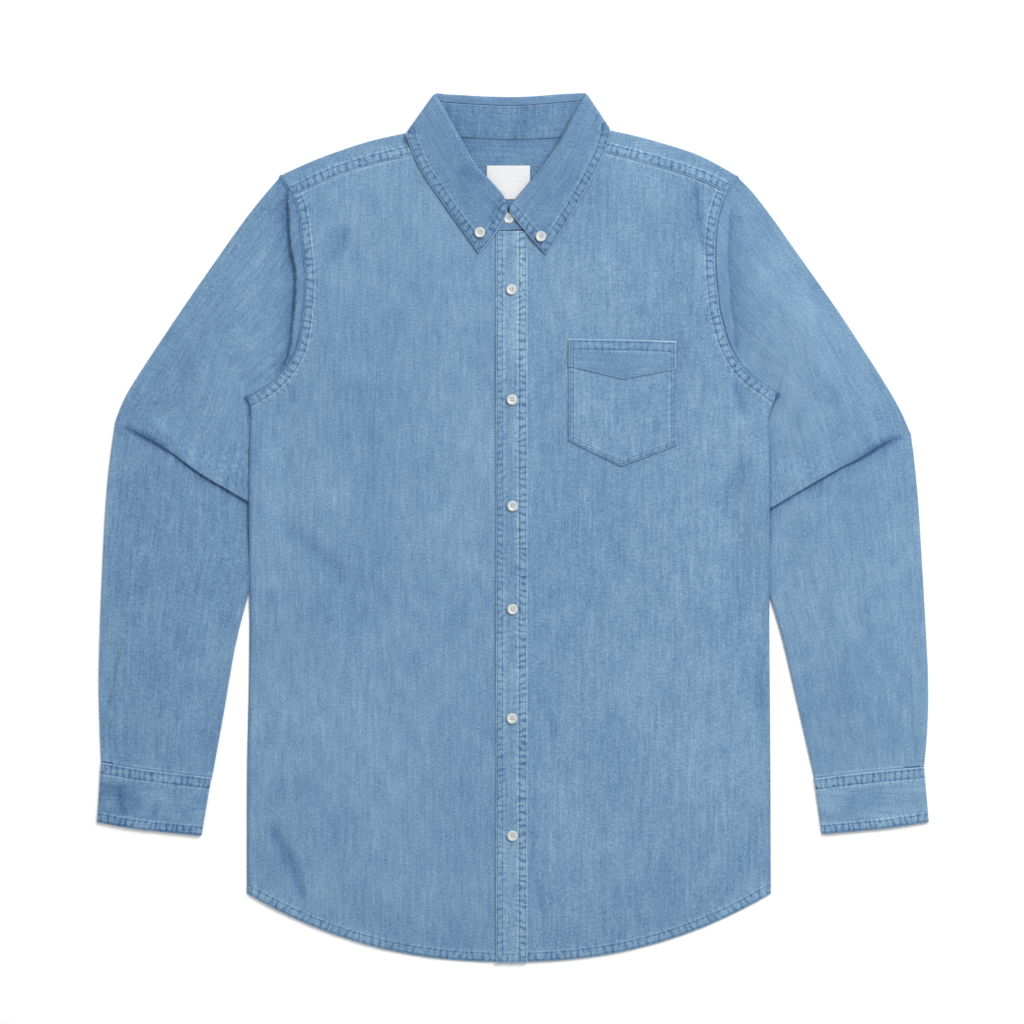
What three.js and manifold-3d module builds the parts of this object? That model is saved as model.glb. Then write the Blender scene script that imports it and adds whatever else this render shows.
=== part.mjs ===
// Men's button-down denim shirt, laid flat on its back with the sleeves down at its sides.
// Millimetres. X runs across the shirt, positive towards the wearer's left. Y runs up to the collar.
// Z runs up from the surface that the shirt lies on. The origin is under the middle of its outline.
// "Right" and "left" are the wearer's, so the right sleeve is at negative X.
import * as THREE from "three";
import { mergeVertices } from "three/addons/utils/BufferGeometryUtils.js";
import Module from "manifold-3d";

const wasm = await Module();
wasm.setup();

// Walls and gaps
const cloth = 1.0; // one layer of denim
const band = 1.2; // doubled, interlined denim: collar, neckband and placket
const cuffWall = 1.4;
const seamGap = 0.5; // between two pieces sewn edge to edge
const layerGap = 0.4; // between two layers that lie on each other
const raisedGap = 0.45; // between a panel and a piece sewn on it

// Levels of the middle of each layer
const lowerLevel = cloth / 2;
const upperLevel = cloth + layerGap + cloth / 2;
const foldRadius = (upperLevel - lowerLevel) / 2;
const foldReach = foldRadius + cloth / 2; // how far a folded edge stands out past its crease

// Body
const bodyMiddle = -3.5; // the body lies a little to the wearer's right of the sleeves' middle
const hem = { low: -434, rise: 68.5, reach: 262, power: 2.25 };
const backInset = 2.5; // from the back's edge to the sleeve that is tucked in beside it
const frontSplit = 12; // where the two fronts meet, under the placket
const backYokeSeam = 285;
const swell = { height: 2.6, side: 75, hem: 60, shoulder: 50 }; // how the fronts rise off the back
const throat = { y: 305, spread: 62, held: 0.92 }; // where the buttoned neckband holds the fronts down
const edgeRise = { height: 1.5, top: 126, full: 98, low: -66, end: -100, near: 12, far: 42 };
const elbowRise = { height: 3.6, y: 31, span: 52 };
const shoulderLine = { y: 395.5, slope: 0.37, from: 101 };
const backNeckline = [[-92, 391.6], [-60, 389.4], [0, 387], [56, 389.4], [88, 392.8]];

const armholeSteps = { high: 7, underarm: 5 };
const sleeveSteps = { tuck: 4, forearm: 10 };
const sleeveTip = 1.8; // from the yoke's corner to the sleeve's

// Plan curves of each side, [x, y]
const sides = {
  right: {
    sign: -1,
    shoulder: [[-99, 395.5], [-138.5, 387], [-170.5, 376.5], [-201, 364], [-231, 349]],
    yokeSeam: [[-219, 333], [-191, 346.5], [-168, 355.5], [-132, 366], [-94, 375]],
    underarm: 5, // the armhole's point where the sleeve's underarm edge starts to follow it
    armhole: [
      [-219, 333], [-213, 315.5], [-209.8, 290.5], [-206.6, 262], [-206, 238.5],
      [-208.5, 207.5], [-214.5, 177.5], [-227.5, 155.5], [-247.5, 137.5], [-265.5, 128.5],
    ],
    side: [[-265.5, 128.5], [-262, 117.5], [-262.5, 87.5], [-263, 27.5], [-262.5, -72.5],
      [-263, -150], [-264.8, -240], [-265, -366]],
    neck: [[-94, 375], [-80, 347.5], [-63.5, 323.5], [-43, 306.5], [-24, 298.8], [-10, 296],
      [12, 296.2]],
    tuck: [[-266.8, 128.8], [-265.8, 108], [-264, 90], [-257, 72], [-256.5, 22]],
    tuckLower: [[-256.5, 22], [-256.5, -32], [-262.5, -60.5]],
    forearmInner: [[-262.5, -60.5], [-276.8, -115.5], [-289.7, -189.5], [-300.8, -250.5]],
    upperOuter: [
      [-231, 349], [-262.5, 312.5], [-306.5, 252.5], [-347.5, 192.5], [-384, 136], [-397, 106],
    ],
    forearmOuter: [
      [-397, 106], [-404.5, 47.5], [-409.5, -32.5], [-413.5, -152.5], [-411, -236],
    ],
    crease: [[-397, 106], [-388.6, 102], [-351.8, 83.3], [-325.7, 64.5], [-304, 49.6],
      [-262.8, 25.8], [-256.5, 22]],
    cuffTop: [[-411, -236], [-368.9, -242.9], [-301, -251]],
    cuffEnd: [[-415, -294.2], [-372.5, -301.3], [-310.9, -307.5]],
  },
  left: {
    sign: 1,
    shoulder: [[93.5, 397.5], [131.5, 389], [184.5, 372], [224, 350]],
    yokeSeam: [[212.5, 336], [187.5, 348.5], [140, 363.5], [88, 377]],
    underarm: 4,
    armhole: [
      [212.5, 336], [203.5, 308.5], [200.9, 278.5], [201.5, 251.5], [205.4, 215.5],
      [216, 180], [234, 153.5], [264.3, 131.8],
    ],
    side: [[264.3, 131.8], [256.5, 114], [256, 87.5], [256.5, 0], [256.5, -92.5],
      [257.5, -240], [258, -366]],
    neck: [[88, 377], [75.5, 351.5], [60.5, 326.5], [44.5, 308], [27.5, 299.6], [12, 297.5]],
    tuck: [[265.6, 132], [260.8, 110], [257.8, 90], [251, 72], [250, 15.5]],
    tuckLower: [[250, 15.5], [250, -36], [257.5, -68.5]],
    forearmInner: [[257.5, -68.5], [270.5, -112.5], [284.5, -172.5], [302.7, -251.8]],
    upperOuter: [
      [224, 350], [257.5, 312.5], [289.5, 267.5], [331.5, 207.5], [380, 131.5], [398.5, 93],
    ],
    forearmOuter: [
      [398.5, 93], [405.5, 27.5], [413.5, -112.5], [414.5, -200], [411.4, -240.5],
    ],
    crease: [[398.5, 93], [383.5, 90], [368.5, 83.5], [343.5, 68.5], [317.1, 54.5],
      [259, 20.5], [250, 15.5]],
    cuffTop: [[411.4, -240.5], [356, -245.5], [302.7, -251.8]],
    cuffEnd: [[416, -294.1], [368, -300.8], [310.9, -305.9]],
  },
};

// Soft folds of the upper cloth: a ridge, or with a negative height a trough, from one end to the other
const bodyFolds = [
  { x1: 190, y1: 335, x2: 176, y2: 215, width: 16, height: 1.6 },
  { x1: -198, y1: 330, x2: -168, y2: 120, width: 20, height: 1.1 },
  { x1: 62, y1: 280, x2: 190, y2: 160, width: 26, height: 0.9 },
  { x1: -50, y1: 250, x2: -110, y2: 60, width: 28, height: 0.9 },
  { x1: 150, y1: 20, x2: 235, y2: -190, width: 24, height: 1.2 },
  { x1: -200, y1: -60, x2: -120, y2: -290, width: 26, height: 1.0 },
  { x1: 40, y1: -180, x2: 70, y2: -400, width: 20, height: -0.8 },
];
const sleeveFolds = {
  right: [
    { x1: -226, y1: 318, x2: -222, y2: 180, width: 12, height: 2.2 },
    { x1: -262, y1: 270, x2: -330, y2: 140, width: 18, height: 1.4 },
    { x1: -300, y1: 180, x2: -352, y2: 96, width: 16, height: 1.2 },
    { x1: -385, y1: -95, x2: -404, y2: -205, width: 10, height: 1.5 },
    { x1: -330, y1: -120, x2: -350, y2: -225, width: 14, height: 0.9 },
  ],
  left: [
    { x1: 222, y1: 322, x2: 219, y2: 190, width: 12, height: 2.0 },
    { x1: 262, y1: 262, x2: 322, y2: 150, width: 18, height: 1.3 },
    { x1: 300, y1: 160, x2: 372, y2: 95, width: 16, height: 1.2 },
    { x1: 392, y1: -120, x2: 404, y2: -232, width: 10, height: 1.5 },
    { x1: 330, y1: -110, x2: 352, y2: -220, width: 14, height: 0.9 },
  ],
};
// How the upper cloth of a sleeve rises off the cloth under it. outer is the share of the width that
// the rise takes, inner where it has gone down again and cuffFrom where it starts to flatten to the cuff.
// free and even are the shares of the length below the armhole and below the elbow that it settles in.
const sleeveSwell = {
  upper: 3.0, forearm: 2.6, outer: 0.38, inner: 0.96, cuffFrom: 0.75, free: 0.25, even: 0.33,
};

// The fold at the elbow. The upper cloth runs on over the forearm and back under itself.
// lap is how far it laps over, rise and run what the fold takes above and below the crease, and
// start, step and full are the shares of the sleeve's width where it begins, steps up and folds over.
const elbow = { pitch: 1.4, lap: 26, rise: 13, run: 7, start: 0.06, step: 0.3, full: 0.55 };
// Rows down the fold. spread is a row's place in the gentle step near the outer edge. In the full
// fold, lap (times how far it laps) and reach give its place. level counts layers.
const elbowFold = [
  { spread: -1.0, lap: -1, reach: -13, level: 0.0 },
  { spread: -0.8, lap: -1, reach: -7, level: 1.1 },
  { spread: -0.6, lap: -1, reach: -2.2, level: 2.0 },
  { spread: -0.45, lap: -0.5, reach: -1.2, level: 2.0 },
  { spread: -0.3, lap: 0, reach: -0.5, level: 2.0 },
  { spread: -0.15, lap: 0, reach: 0.2, level: 1.83 },
  { spread: -0.05, lap: 0, reach: 0.5, level: 1.5 },
  { spread: 0.05, lap: 0, reach: 0.2, level: 1.17 },
  { spread: 0.15, lap: 0, reach: -0.5, level: 1.0 },
  { spread: 0.25, lap: -0.9, reach: -0.6, level: 1.0 },
  { spread: 0.35, lap: -1, reach: -1.2, level: 0.83 },
  { spread: 0.45, lap: -1, reach: -1.5, level: 0.5 },
  { spread: 0.55, lap: -1, reach: -1.2, level: 0.17 },
  { spread: 0.65, lap: -0.9, reach: -0.5, level: 0.0 },
  { spread: 0.8, lap: -0.3, reach: 0.5, level: 0.0 },
  { spread: 1.0, lap: 0, reach: 7, level: 0.0 },
];

// Collar. Each row is a section through it, from the right front edge round to the left.
// x, y is the roll, freeX, freeY the leaf's free edge and seamX, seamY the neckband's lower edge.
// turn is how far the section has gone round: 0 on top of the shirt, 90 at the fold at the side
// of the neck and 180 underneath. height and seamZ are the neckband's levels at its two edges.
const collarSections = [
  { x: -6.2, y: 320.5, freeX: -33.5, freeY: 274, seamX: -12, seamY: 297, turn: 0, height: 2.3, seamZ: 2.2 },
  { x: -8.5, y: 330, freeX: -46, freeY: 291.5, seamX: -24, seamY: 300, turn: 0, height: 3.3, seamZ: 2.4 },
  { x: -20, y: 343.5, freeX: -57.5, freeY: 307.5, seamX: -42, seamY: 308, turn: 0, height: 4.8, seamZ: 3.0 },
  { x: -36, y: 361, freeX: -72, freeY: 328, seamX: -62, seamY: 324.5, turn: 0, height: 6.1, seamZ: 3.7 },
  { x: -53, y: 390, freeX: -88.5, freeY: 352, seamX: -78.5, seamY: 348, turn: 0, height: 6.7, seamZ: 4.0 },
  { x: -66, y: 413, freeX: -99, freeY: 373, seamX: -91.5, seamY: 373.5, turn: 0, height: 6.8, seamZ: 3.3 },
  { x: -73, y: 426, freeX: -103.5, freeY: 386, seamX: -95.6, seamY: 386, turn: 25, height: 6.4, seamZ: 2.6 },
  { x: -74.5, y: 430, freeX: -104.5, freeY: 392, seamX: -96.2, seamY: 393, turn: 90, height: 5.1, seamZ: 1.7 },
  { x: -72, y: 432.5, freeX: -94, freeY: 401, seamX: -88, seamY: 394.6, turn: 155, height: 3.9, seamZ: 1.1 },
  { x: -58, y: 432.5, freeX: -68, freeY: 402, seamX: -62, seamY: 391.2, turn: 180, height: 3.5, seamZ: 1 },
  { x: 0, y: 429.5, freeX: 0, freeY: 402, seamX: 0, seamY: 388.2, turn: 180, height: 3.5, seamZ: 1 },
  { x: 54, y: 432.8, freeX: 63, freeY: 402.5, seamX: 57, seamY: 391, turn: 180, height: 3.5, seamZ: 1 },
  { x: 68, y: 433, freeX: 89, freeY: 403, seamX: 84, seamY: 395.4, turn: 155, height: 3.9, seamZ: 1.1 },
  { x: 70.5, y: 430.5, freeX: 96, freeY: 396, seamX: 90.6, seamY: 394.8, turn: 90, height: 5.1, seamZ: 1.7 },
  { x: 69, y: 426, freeX: 96, freeY: 390, seamX: 90, seamY: 388, turn: 25, height: 6.4, seamZ: 2.6 },
  { x: 60, y: 409.5, freeX: 92, freeY: 376, seamX: 85, seamY: 375.5, turn: 0, height: 6.8, seamZ: 3.3 },
  { x: 47.5, y: 386, freeX: 84, freeY: 358, seamX: 73, seamY: 352, turn: 0, height: 6.7, seamZ: 4.0 },
  { x: 32, y: 363, freeX: 71.5, freeY: 334.5, seamX: 58.5, seamY: 327.5, turn: 0, height: 6.3, seamZ: 3.9 },
  { x: 17.5, y: 345, freeX: 58, freeY: 311, seamX: 43, seamY: 309.5, turn: 0, height: 5.3, seamZ: 3.8 },
  { x: 6.5, y: 332, freeX: 46.5, freeY: 293, seamX: 27, seamY: 301, turn: 0, height: 4.4, seamZ: 3.7 },
  { x: -2.6, y: 320.5, freeX: 33.5, freeY: 273, seamX: 12, seamY: 298.8, turn: 0, height: 3.7, seamZ: 3.7 },
];
// The neckband's ends, which overlap at the front with the left one on top. x, y is the upper edge.
const bandEnds = {
  right: [
    { x: 8.5, y: 313, seamX: 10.5, seamY: 297.5, height: 2.2, seamZ: 2.2 },
    { x: 0, y: 313, seamX: 0, seamY: 297, height: 2.2, seamZ: 2.2 },
  ],
  left: [
    { x: -5, y: 314.5, seamX: -2, seamY: 297.6, height: 3.7, seamZ: 3.7 },
    { x: -12.5, y: 311, seamX: -12.8, seamY: 297, height: 3.65, seamZ: 3.7 },
  ],
};
const bandBow = 1.6; // how far the neckband bows out at the folds at the side of the neck
const leafSeam = 7.6; // from the roll to the seam between leaf and neckband
const rollGap = 2.2; // between them along the curve of the neck
const leafStand = 2.9; // how far the leaf lies outside the neckband
const leafRest = 0.75; // how high its free edge's middle lies over the shirt, in walls
// The leaf's section: how far from the roll and how far outside the neckband's layer
const leafRoll = [
  { from: leafSeam, out: 0 },
  { from: 4, out: 0 },
  { from: 1.3, out: 0.15 },
  { from: 0.1, out: 0.9 },
  { from: 0.1, out: 2.0 },
  { from: 1.3, out: 2.75 },
  { from: 5, out: leafStand },
];
const leafFractions = [0.34, 0.67, 1];
const bandFractions = [0, 0.2, 0.5, 0.78, 1];
const bandCurve = 1.8; // how late the neckband comes down to its lower seam

// Pieces sewn on
const placket = { left: -16.4, right: 14.5, top: 295, rows: 18, wall: band };
const pocket = {
  left: 56, right: 164, top: 188.5, leftFoot: 86.5, rightFoot: 81.5, pointX: 108.5, pointY: 61.5,
  wall: cloth,
};
const pocketBand = { drop: 25, point: 40.5, rightDrop: 30, inset: 0.6, wall: 0.8 };
const label = { left: -25.7, right: 17.3, top: 361.5, bottom: 328, wall: 0.8 };
const button = { radius: 5.5, wall: 2.2, holeRadius: 0.9, holeAt: 1.5, gap: 0.3 };
const buttonPlaces = [
  { name: "button_neck", x: -3.8, y: 309 },
  { name: "button_front_1", x: -1, y: 237.5 },
  { name: "button_front_2", x: -0.5, y: 127.5 },
  { name: "button_front_3", x: 0, y: 21.5 },
  { name: "button_front_4", x: 0, y: -81.5 },
  { name: "button_front_5", x: -0.5, y: -190.5 },
  { name: "button_front_6", x: 0, y: -307.5 },
  { name: "button_collar_right", x: -32.7, y: 294.5 },
  { name: "button_collar_left", x: 28.3, y: 290.5 },
];

// Colours and finish
const denim = { color: 0x6f9bc8, roughness: 0.9, metalness: 0 };
const pearl = { color: 0xf0f1ee, roughness: 0.35, metalness: 0 };
const tape = { color: 0xf6f6f4, roughness: 0.8, metalness: 0 };

function clamp01(value) {
  return Math.min(1, Math.max(0, value));
}

// From 0 to 1 with a soft start and end
function ease(value) {
  const t = clamp01(value);
  return t * t * (3 - 2 * t);
}

function mix(a, b, t) {
  return a.map((value, axis) => value + (b[axis] - value) * t);
}

// Height of a row of soft folds over a place in the plan
function foldHeight(folds, x, y) {
  return folds.reduce((sum, fold) => {
    const dx = fold.x2 - fold.x1;
    const dy = fold.y2 - fold.y1;
    const t = ((x - fold.x1) * dx + (y - fold.y1) * dy) / (dx * dx + dy * dy);
    const near = clamp01(t);
    const away = Math.hypot(x - fold.x1 - dx * near, y - fold.y1 - dy * near);
    const ends = ease((t + 0.15) / 0.35) * ease((1.15 - t) / 0.35);
    return sum + fold.height * ends * Math.exp(-((away / fold.width) ** 2));
  }, 0);
}

function hemAt(x) {
  return hem.low + hem.rise * (Math.abs(x - bodyMiddle) / hem.reach) ** hem.power;
}

function shoulderAt(x) {
  return shoulderLine.y - shoulderLine.slope * Math.max(0, Math.abs(x) - shoulderLine.from);
}

// How far the upper cloth of the body lies above its lowest level, at a place in the plan
function bodyLift(x, y) {
  const inFromSide = hem.reach - Math.abs(x - bodyMiddle);
  const shape = ease(inFromSide / swell.side)
    * ease((y - hemAt(x)) / swell.hem)
    * ease((shoulderAt(x) - y) / swell.shoulder)
    * (1 - throat.held * Math.exp(-((Math.hypot(x, y - throat.y) / throat.spread) ** 2)));
  const rise = edgeRise.height + elbowRise.height
    * Math.exp(-(((y - elbowRise.y) / elbowRise.span) ** 4));
  const along = ease((edgeRise.top - y) / (edgeRise.top - edgeRise.full))
    * ease((y - edgeRise.end) / (edgeRise.low - edgeRise.end));
  const across = 1 - ease((inFromSide - edgeRise.near) / (edgeRise.far - edgeRise.near));
  return shape * (swell.height + foldHeight(bodyFolds, x, y)) + rise * along * across;
}

// Points along one or more plan curves, with a given number of steps on each
function along(curves, steps) {
  const points = [];
  curves.forEach((curve, index) => {
    const spline = new THREE.SplineCurve(curve.map(([x, y]) => new THREE.Vector2(x, y)));
    const spaced = spline.getSpacedPoints(steps[index]).map((p) => [p.x, p.y]);
    points.push(...(index ? spaced.slice(1) : spaced));
  });
  return points;
}

function reversed(points) {
  return [...points].reverse();
}

// A plan curve moved sideways, to the left of its direction
function moved(points, distance) {
  return points.map((point, i) => {
    const before = points[Math.max(0, i - 1)];
    const after = points[Math.min(points.length - 1, i + 1)];
    const length = Math.hypot(after[0] - before[0], after[1] - before[1]);
    return [
      point[0] - ((after[1] - before[1]) / length) * distance,
      point[1] + ((after[0] - before[0]) / length) * distance,
    ];
  });
}

// Share of a list's length that each of its points has come to
function shares(points) {
  const sums = [0];
  for (let i = 1; i < points.length; i += 1) {
    sums.push(sums[i - 1] + Math.hypot(points[i][0] - points[i - 1][0], points[i][1] - points[i - 1][1]));
  }
  return sums.map((sum) => sum / sums[sums.length - 1]);
}

// The plan grid that fills four edges: start and end run across, first and last run along
function patch(start, end, first, last) {
  const across = shares(start).map((s, i) => (s + shares(end)[i]) / 2);
  const down = shares(first).map((s, j) => (s + shares(last)[j]) / 2);
  return start.map((_, i) => first.map((__, j) => {
    const s = across[i];
    const t = down[j];
    return [0, 1].map((axis) => (1 - t) * start[i][axis] + t * end[i][axis]
      + (1 - s) * first[j][axis] + s * last[j][axis]
      - (1 - s) * (1 - t) * start[0][axis] - s * (1 - t) * start[start.length - 1][axis]
      - (1 - s) * t * end[0][axis] - s * t * end[end.length - 1][axis]);
  }));
}

// A plan grid laid at a level that may change over the plan
function laid(grid, level) {
  return grid.map((column) => column.map(([x, y]) => [x, y, level(x, y)]));
}

function asGeometry(points, faces) {
  const geometry = new THREE.BufferGeometry();
  geometry.setAttribute("position", new THREE.Float32BufferAttribute(points.flat(), 3));
  let volume = 0;
  faces.forEach(([a, b, c]) => {
    const [p, q, r] = [points[a], points[b], points[c]];
    volume += p[0] * (q[1] * r[2] - q[2] * r[1]) + p[1] * (q[2] * r[0] - q[0] * r[2])
      + p[2] * (q[0] * r[1] - q[1] * r[0]);
  });
  geometry.setIndex(faces.flatMap(([a, b, c]) => (volume < 0 ? [a, c, b] : [a, b, c])));
  return geometry;
}

// A closed wall round a grid of points in its middle. A closed grid joins its last column to its first.
function wall(grid, thickness, closed = false) {
  const columns = grid.length;
  const rows = grid[0].length;
  const at = (i, j) => grid[closed ? (i + columns) % columns : Math.min(columns - 1, Math.max(0, i))][
    Math.min(rows - 1, Math.max(0, j))];
  const points = [];
  grid.forEach((column, i) => column.forEach((point, j) => {
    const across = new THREE.Vector3(...at(i + 1, j)).sub(new THREE.Vector3(...at(i - 1, j)));
    const down = new THREE.Vector3(...at(i, j + 1)).sub(new THREE.Vector3(...at(i, j - 1)));
    const normal = across.cross(down).normalize().multiplyScalar(thickness / 2);
    const [x, y, z] = point;
    points.push([x + normal.x, y + normal.y, z + normal.z], [x - normal.x, y - normal.y, z - normal.z]);
  }));
  const index = (i, j, side) => ((i % columns) * rows + j) * 2 + side;
  const faces = [];
  const quad = (a, b, c, d) => faces.push([a, b, c], [a, c, d]);
  const lastColumn = closed ? columns : columns - 1;
  for (let i = 0; i < lastColumn; i += 1) {
    for (let j = 0; j < rows - 1; j += 1) {
      quad(index(i, j, 0), index(i + 1, j, 0), index(i + 1, j + 1, 0), index(i, j + 1, 0));
      quad(index(i, j, 1), index(i, j + 1, 1), index(i + 1, j + 1, 1), index(i + 1, j, 1));
    }
    quad(index(i, 0, 0), index(i, 0, 1), index(i + 1, 0, 1), index(i + 1, 0, 0));
    const end = rows - 1;
    quad(index(i, end, 0), index(i + 1, end, 0), index(i + 1, end, 1), index(i, end, 1));
  }
  for (let j = 0; !closed && j < rows - 1; j += 1) {
    quad(index(0, j, 0), index(0, j + 1, 0), index(0, j + 1, 1), index(0, j, 1));
    quad(index(columns - 1, j, 0), index(columns - 1, j, 1), index(columns - 1, j + 1, 1),
      index(columns - 1, j + 1, 0));
  }
  return asGeometry(points, faces);
}

// A flat layer of cloth on the ground with the given outline
function flatLayer(outline) {
  const shape = new THREE.Shape(outline.map(([x, y]) => new THREE.Vector2(x, y)));
  return new THREE.ExtrudeGeometry(shape, { depth: cloth, bevelEnabled: false });
}

function asSolid(geometry) {
  const plain = geometry.clone();
  plain.deleteAttribute("normal");
  plain.deleteAttribute("uv");
  const merged = mergeVertices(plain, 1e-4);
  return new wasm.Manifold(new wasm.Mesh({
    numProp: 3,
    vertProperties: merged.attributes.position.array,
    triVerts: new Uint32Array(merged.index.array),
  }));
}

function joined(geometries) {
  const mesh = geometries.map(asSolid).reduce((a, b) => a.add(b)).getMesh();
  const geometry = new THREE.BufferGeometry();
  geometry.setAttribute("position", new THREE.BufferAttribute(mesh.vertProperties, 3));
  geometry.setIndex(new THREE.BufferAttribute(mesh.triVerts, 1));
  return geometry;
}

function named(name, geometry, finish) {
  const mesh = new THREE.Mesh(geometry, new THREE.MeshStandardMaterial(finish));
  mesh.name = name;
  return mesh;
}

// The armhole below the yoke, as the front and the sleeve share it
function armholePoints(side) {
  const high = side.armhole.slice(0, side.underarm + 1);
  const underarm = side.armhole.slice(side.underarm);
  return along([high, underarm], [armholeSteps.high, armholeSteps.underarm]);
}

// Where a plan curve that runs down crosses a level
function crossing(points, y) {
  const next = points.findIndex((point) => point[1] < y);
  const [above, below] = [points[next - 1], points[next]];
  return mix(above, below, (above[1] - y) / (above[1] - below[1]));
}

// The back's edge under the front's side edge: it follows the sleeve where that is tucked in
function backSide(side) {
  const tucked = along([side.tuck, side.tuckLower], [10, 6]).map(([x, y]) => [x - side.sign * backInset, y]);
  const lower = side.side.filter(([, y]) => y < edgeRise.end);
  return [...tucked, ...lower];
}

function makeBack() {
  const halves = [sides.right, sides.left].map((side) => {
    const level = backYokeSeam - seamGap / 2;
    const armhole = armholePoints(side);
    return [
      crossing(armhole, level),
      ...armhole.filter(([, y]) => y < level - 1).slice(0, -1),
      ...backSide(side),
    ];
  });
  const hemLine = [];
  const steps = 24;
  for (let i = 1; i < steps; i += 1) {
    const x = sides.right.side.at(-1)[0]
      + ((sides.left.side.at(-1)[0] - sides.right.side.at(-1)[0]) * i) / steps;
    hemLine.push([x, hemAt(x)]);
  }
  return flatLayer([...halves[0], ...hemLine, ...reversed(halves[1])]);
}

const yokeSteps = 6;
const wingWall = cloth * 0.9; // a little thinner than the yoke's lower layer, which it runs into
const wingLap = 3;

// The yoke lies under the neck and folds over both shoulders to its seams on the fronts
function makeYoke() {
  const halves = [sides.right, sides.left].map((side) => {
    const level = backYokeSeam + seamGap / 2;
    const armhole = armholePoints(side);
    return [
      ...along([side.shoulder], [yokeSteps]),
      ...armhole.filter(([, y]) => y > level + 1),
      crossing(armhole, level),
    ];
  });
  const neckline = along([backNeckline], [8]);
  const under = flatLayer([...halves[0], ...reversed(halves[1]), ...reversed(neckline)]);
  const wings = [sides.right, sides.left].map((side) => {
    const crease = moved(reversed(along([side.shoulder], [yokeSteps])), -side.sign * foldReach);
    const seam = along([side.yokeSeam], [yokeSteps]);
    const quarters = [0, 0.25, 0.5, 0.75, 1];
    const columns = seam.map((foot, i) => {
      const top = crease[i];
      const flat = quarters.slice(0, -1).map((t) => {
        const [x, y] = mix(foot, top, t);
        return [x, y, upperLevel + bodyLift(x, y)];
      });
      const turned = quarters.map((t) => {
        const angle = Math.PI * t;
        return [
          top[0],
          top[1] + foldRadius * Math.sin(angle),
          lowerLevel + foldRadius * (1 + Math.cos(angle)),
        ];
      });
      return [...flat, ...turned, [top[0], top[1] - wingLap, lowerLevel]];
    });
    return wall(columns, wingWall);
  });
  return joined([under, ...wings]);
}

function makeFront(side) {
  const sideSteps = 14;
  const neckSteps = 7;
  const armSteps = armholeSteps.high + armholeSteps.underarm;
  const edge = [...along([reversed(side.side)], [sideSteps]).slice(0, -1), ...reversed(armholePoints(side))];
  const splitX = side.sign > 0 ? frontSplit + seamGap : frontSplit;
  const neck = side.neck.map(([x, y]) => [x === frontSplit ? splitX : x, y]);
  const top = along([side.yokeSeam.map(([x, y]) => [x, y - seamGap]), neck], [yokeSteps, neckSteps]);
  top[0] = edge.at(-1);
  const armpit = side.armhole.at(-1)[1];
  const foot = hemAt(splitX);
  const centre = along([
    [[splitX, foot], [splitX, armpit]],
    [[splitX, armpit], top.at(-1)],
  ], [sideSteps, armSteps]);
  const corner = edge[0];
  const turn = side.neck[0][0];
  const bottom = along([
    [0, 0.33, 0.67, 1].map((t) => corner[0] + (turn - corner[0]) * t).map((x) => [x, hemAt(x)]),
    [0, 0.5, 1].map((t) => turn + (splitX - turn) * t).map((x) => [x, hemAt(x)]),
  ], [yokeSteps, neckSteps]);
  edge[0] = bottom[0];
  return wall(laid(patch(bottom, top, edge, centre), (x, y) => upperLevel + bodyLift(x, y)), cloth);
}

// Distances along a column of points
function lengths(column) {
  const sums = [0];
  for (let j = 1; j < column.length; j += 1) {
    sums.push(sums[j - 1] + Math.hypot(column[j][0] - column[j - 1][0], column[j][1] - column[j - 1][1]));
  }
  return sums;
}

// The place at a distance along a column of points
function placeOn(column, distance) {
  const sums = lengths(column);
  const j = Math.min(column.length - 2, Math.max(0, sums.findIndex((sum) => sum >= distance) - 1));
  return mix(column[j], column[j + 1], (distance - sums[j]) / (sums[j + 1] - sums[j]));
}

// The plan of a sleeve as two grids that meet at the elbow's crease.
// Across, a grid goes from the outer edge to the underarm seam. Down, it goes towards the cuff.
function sleevePlan(side) {
  const across = armholeSteps.high + 1;
  const upperSteps = armholeSteps.underarm + sleeveSteps.tuck;
  const wholeArmhole = moved([side.shoulder.at(-1), ...armholePoints(side)], side.sign * seamGap);
  const armhole = wholeArmhole.slice(0, across + 1);
  armhole[0] = [armhole[0][0] + side.sign * sleeveTip, armhole[0][1]];
  const outerUpper = moved(along([side.upperOuter], [upperSteps]), -side.sign * foldReach);
  const outerForearm = moved(along([side.forearmOuter], [sleeveSteps.forearm]), -side.sign * foldReach);
  const crease = along([side.crease], [across]);
  const innerUpper = [...wholeArmhole.slice(across, -1), ...along([side.tuck], [sleeveSteps.tuck])];
  const innerForearm = along(
    [side.tuckLower, side.forearmInner], [sleeveSteps.tuck, sleeveSteps.forearm - sleeveSteps.tuck]);
  const cuffLine = along([side.cuffTop], [across]).map(([x, y]) => [x, y + 2 * seamGap]);
  cuffLine[0][0] -= side.sign * foldReach;
  outerUpper[0] = armhole[0];
  crease[0] = outerUpper.at(-1);
  [outerForearm[0], innerForearm[0]] = [crease[0], crease.at(-1)];
  outerForearm[sleeveSteps.forearm] = cuffLine[0];
  innerForearm[sleeveSteps.forearm] = cuffLine.at(-1);
  return {
    upper: patch(armhole, crease, outerUpper, innerUpper),
    forearm: patch(crease, cuffLine, outerForearm, innerForearm),
  };
}

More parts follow.
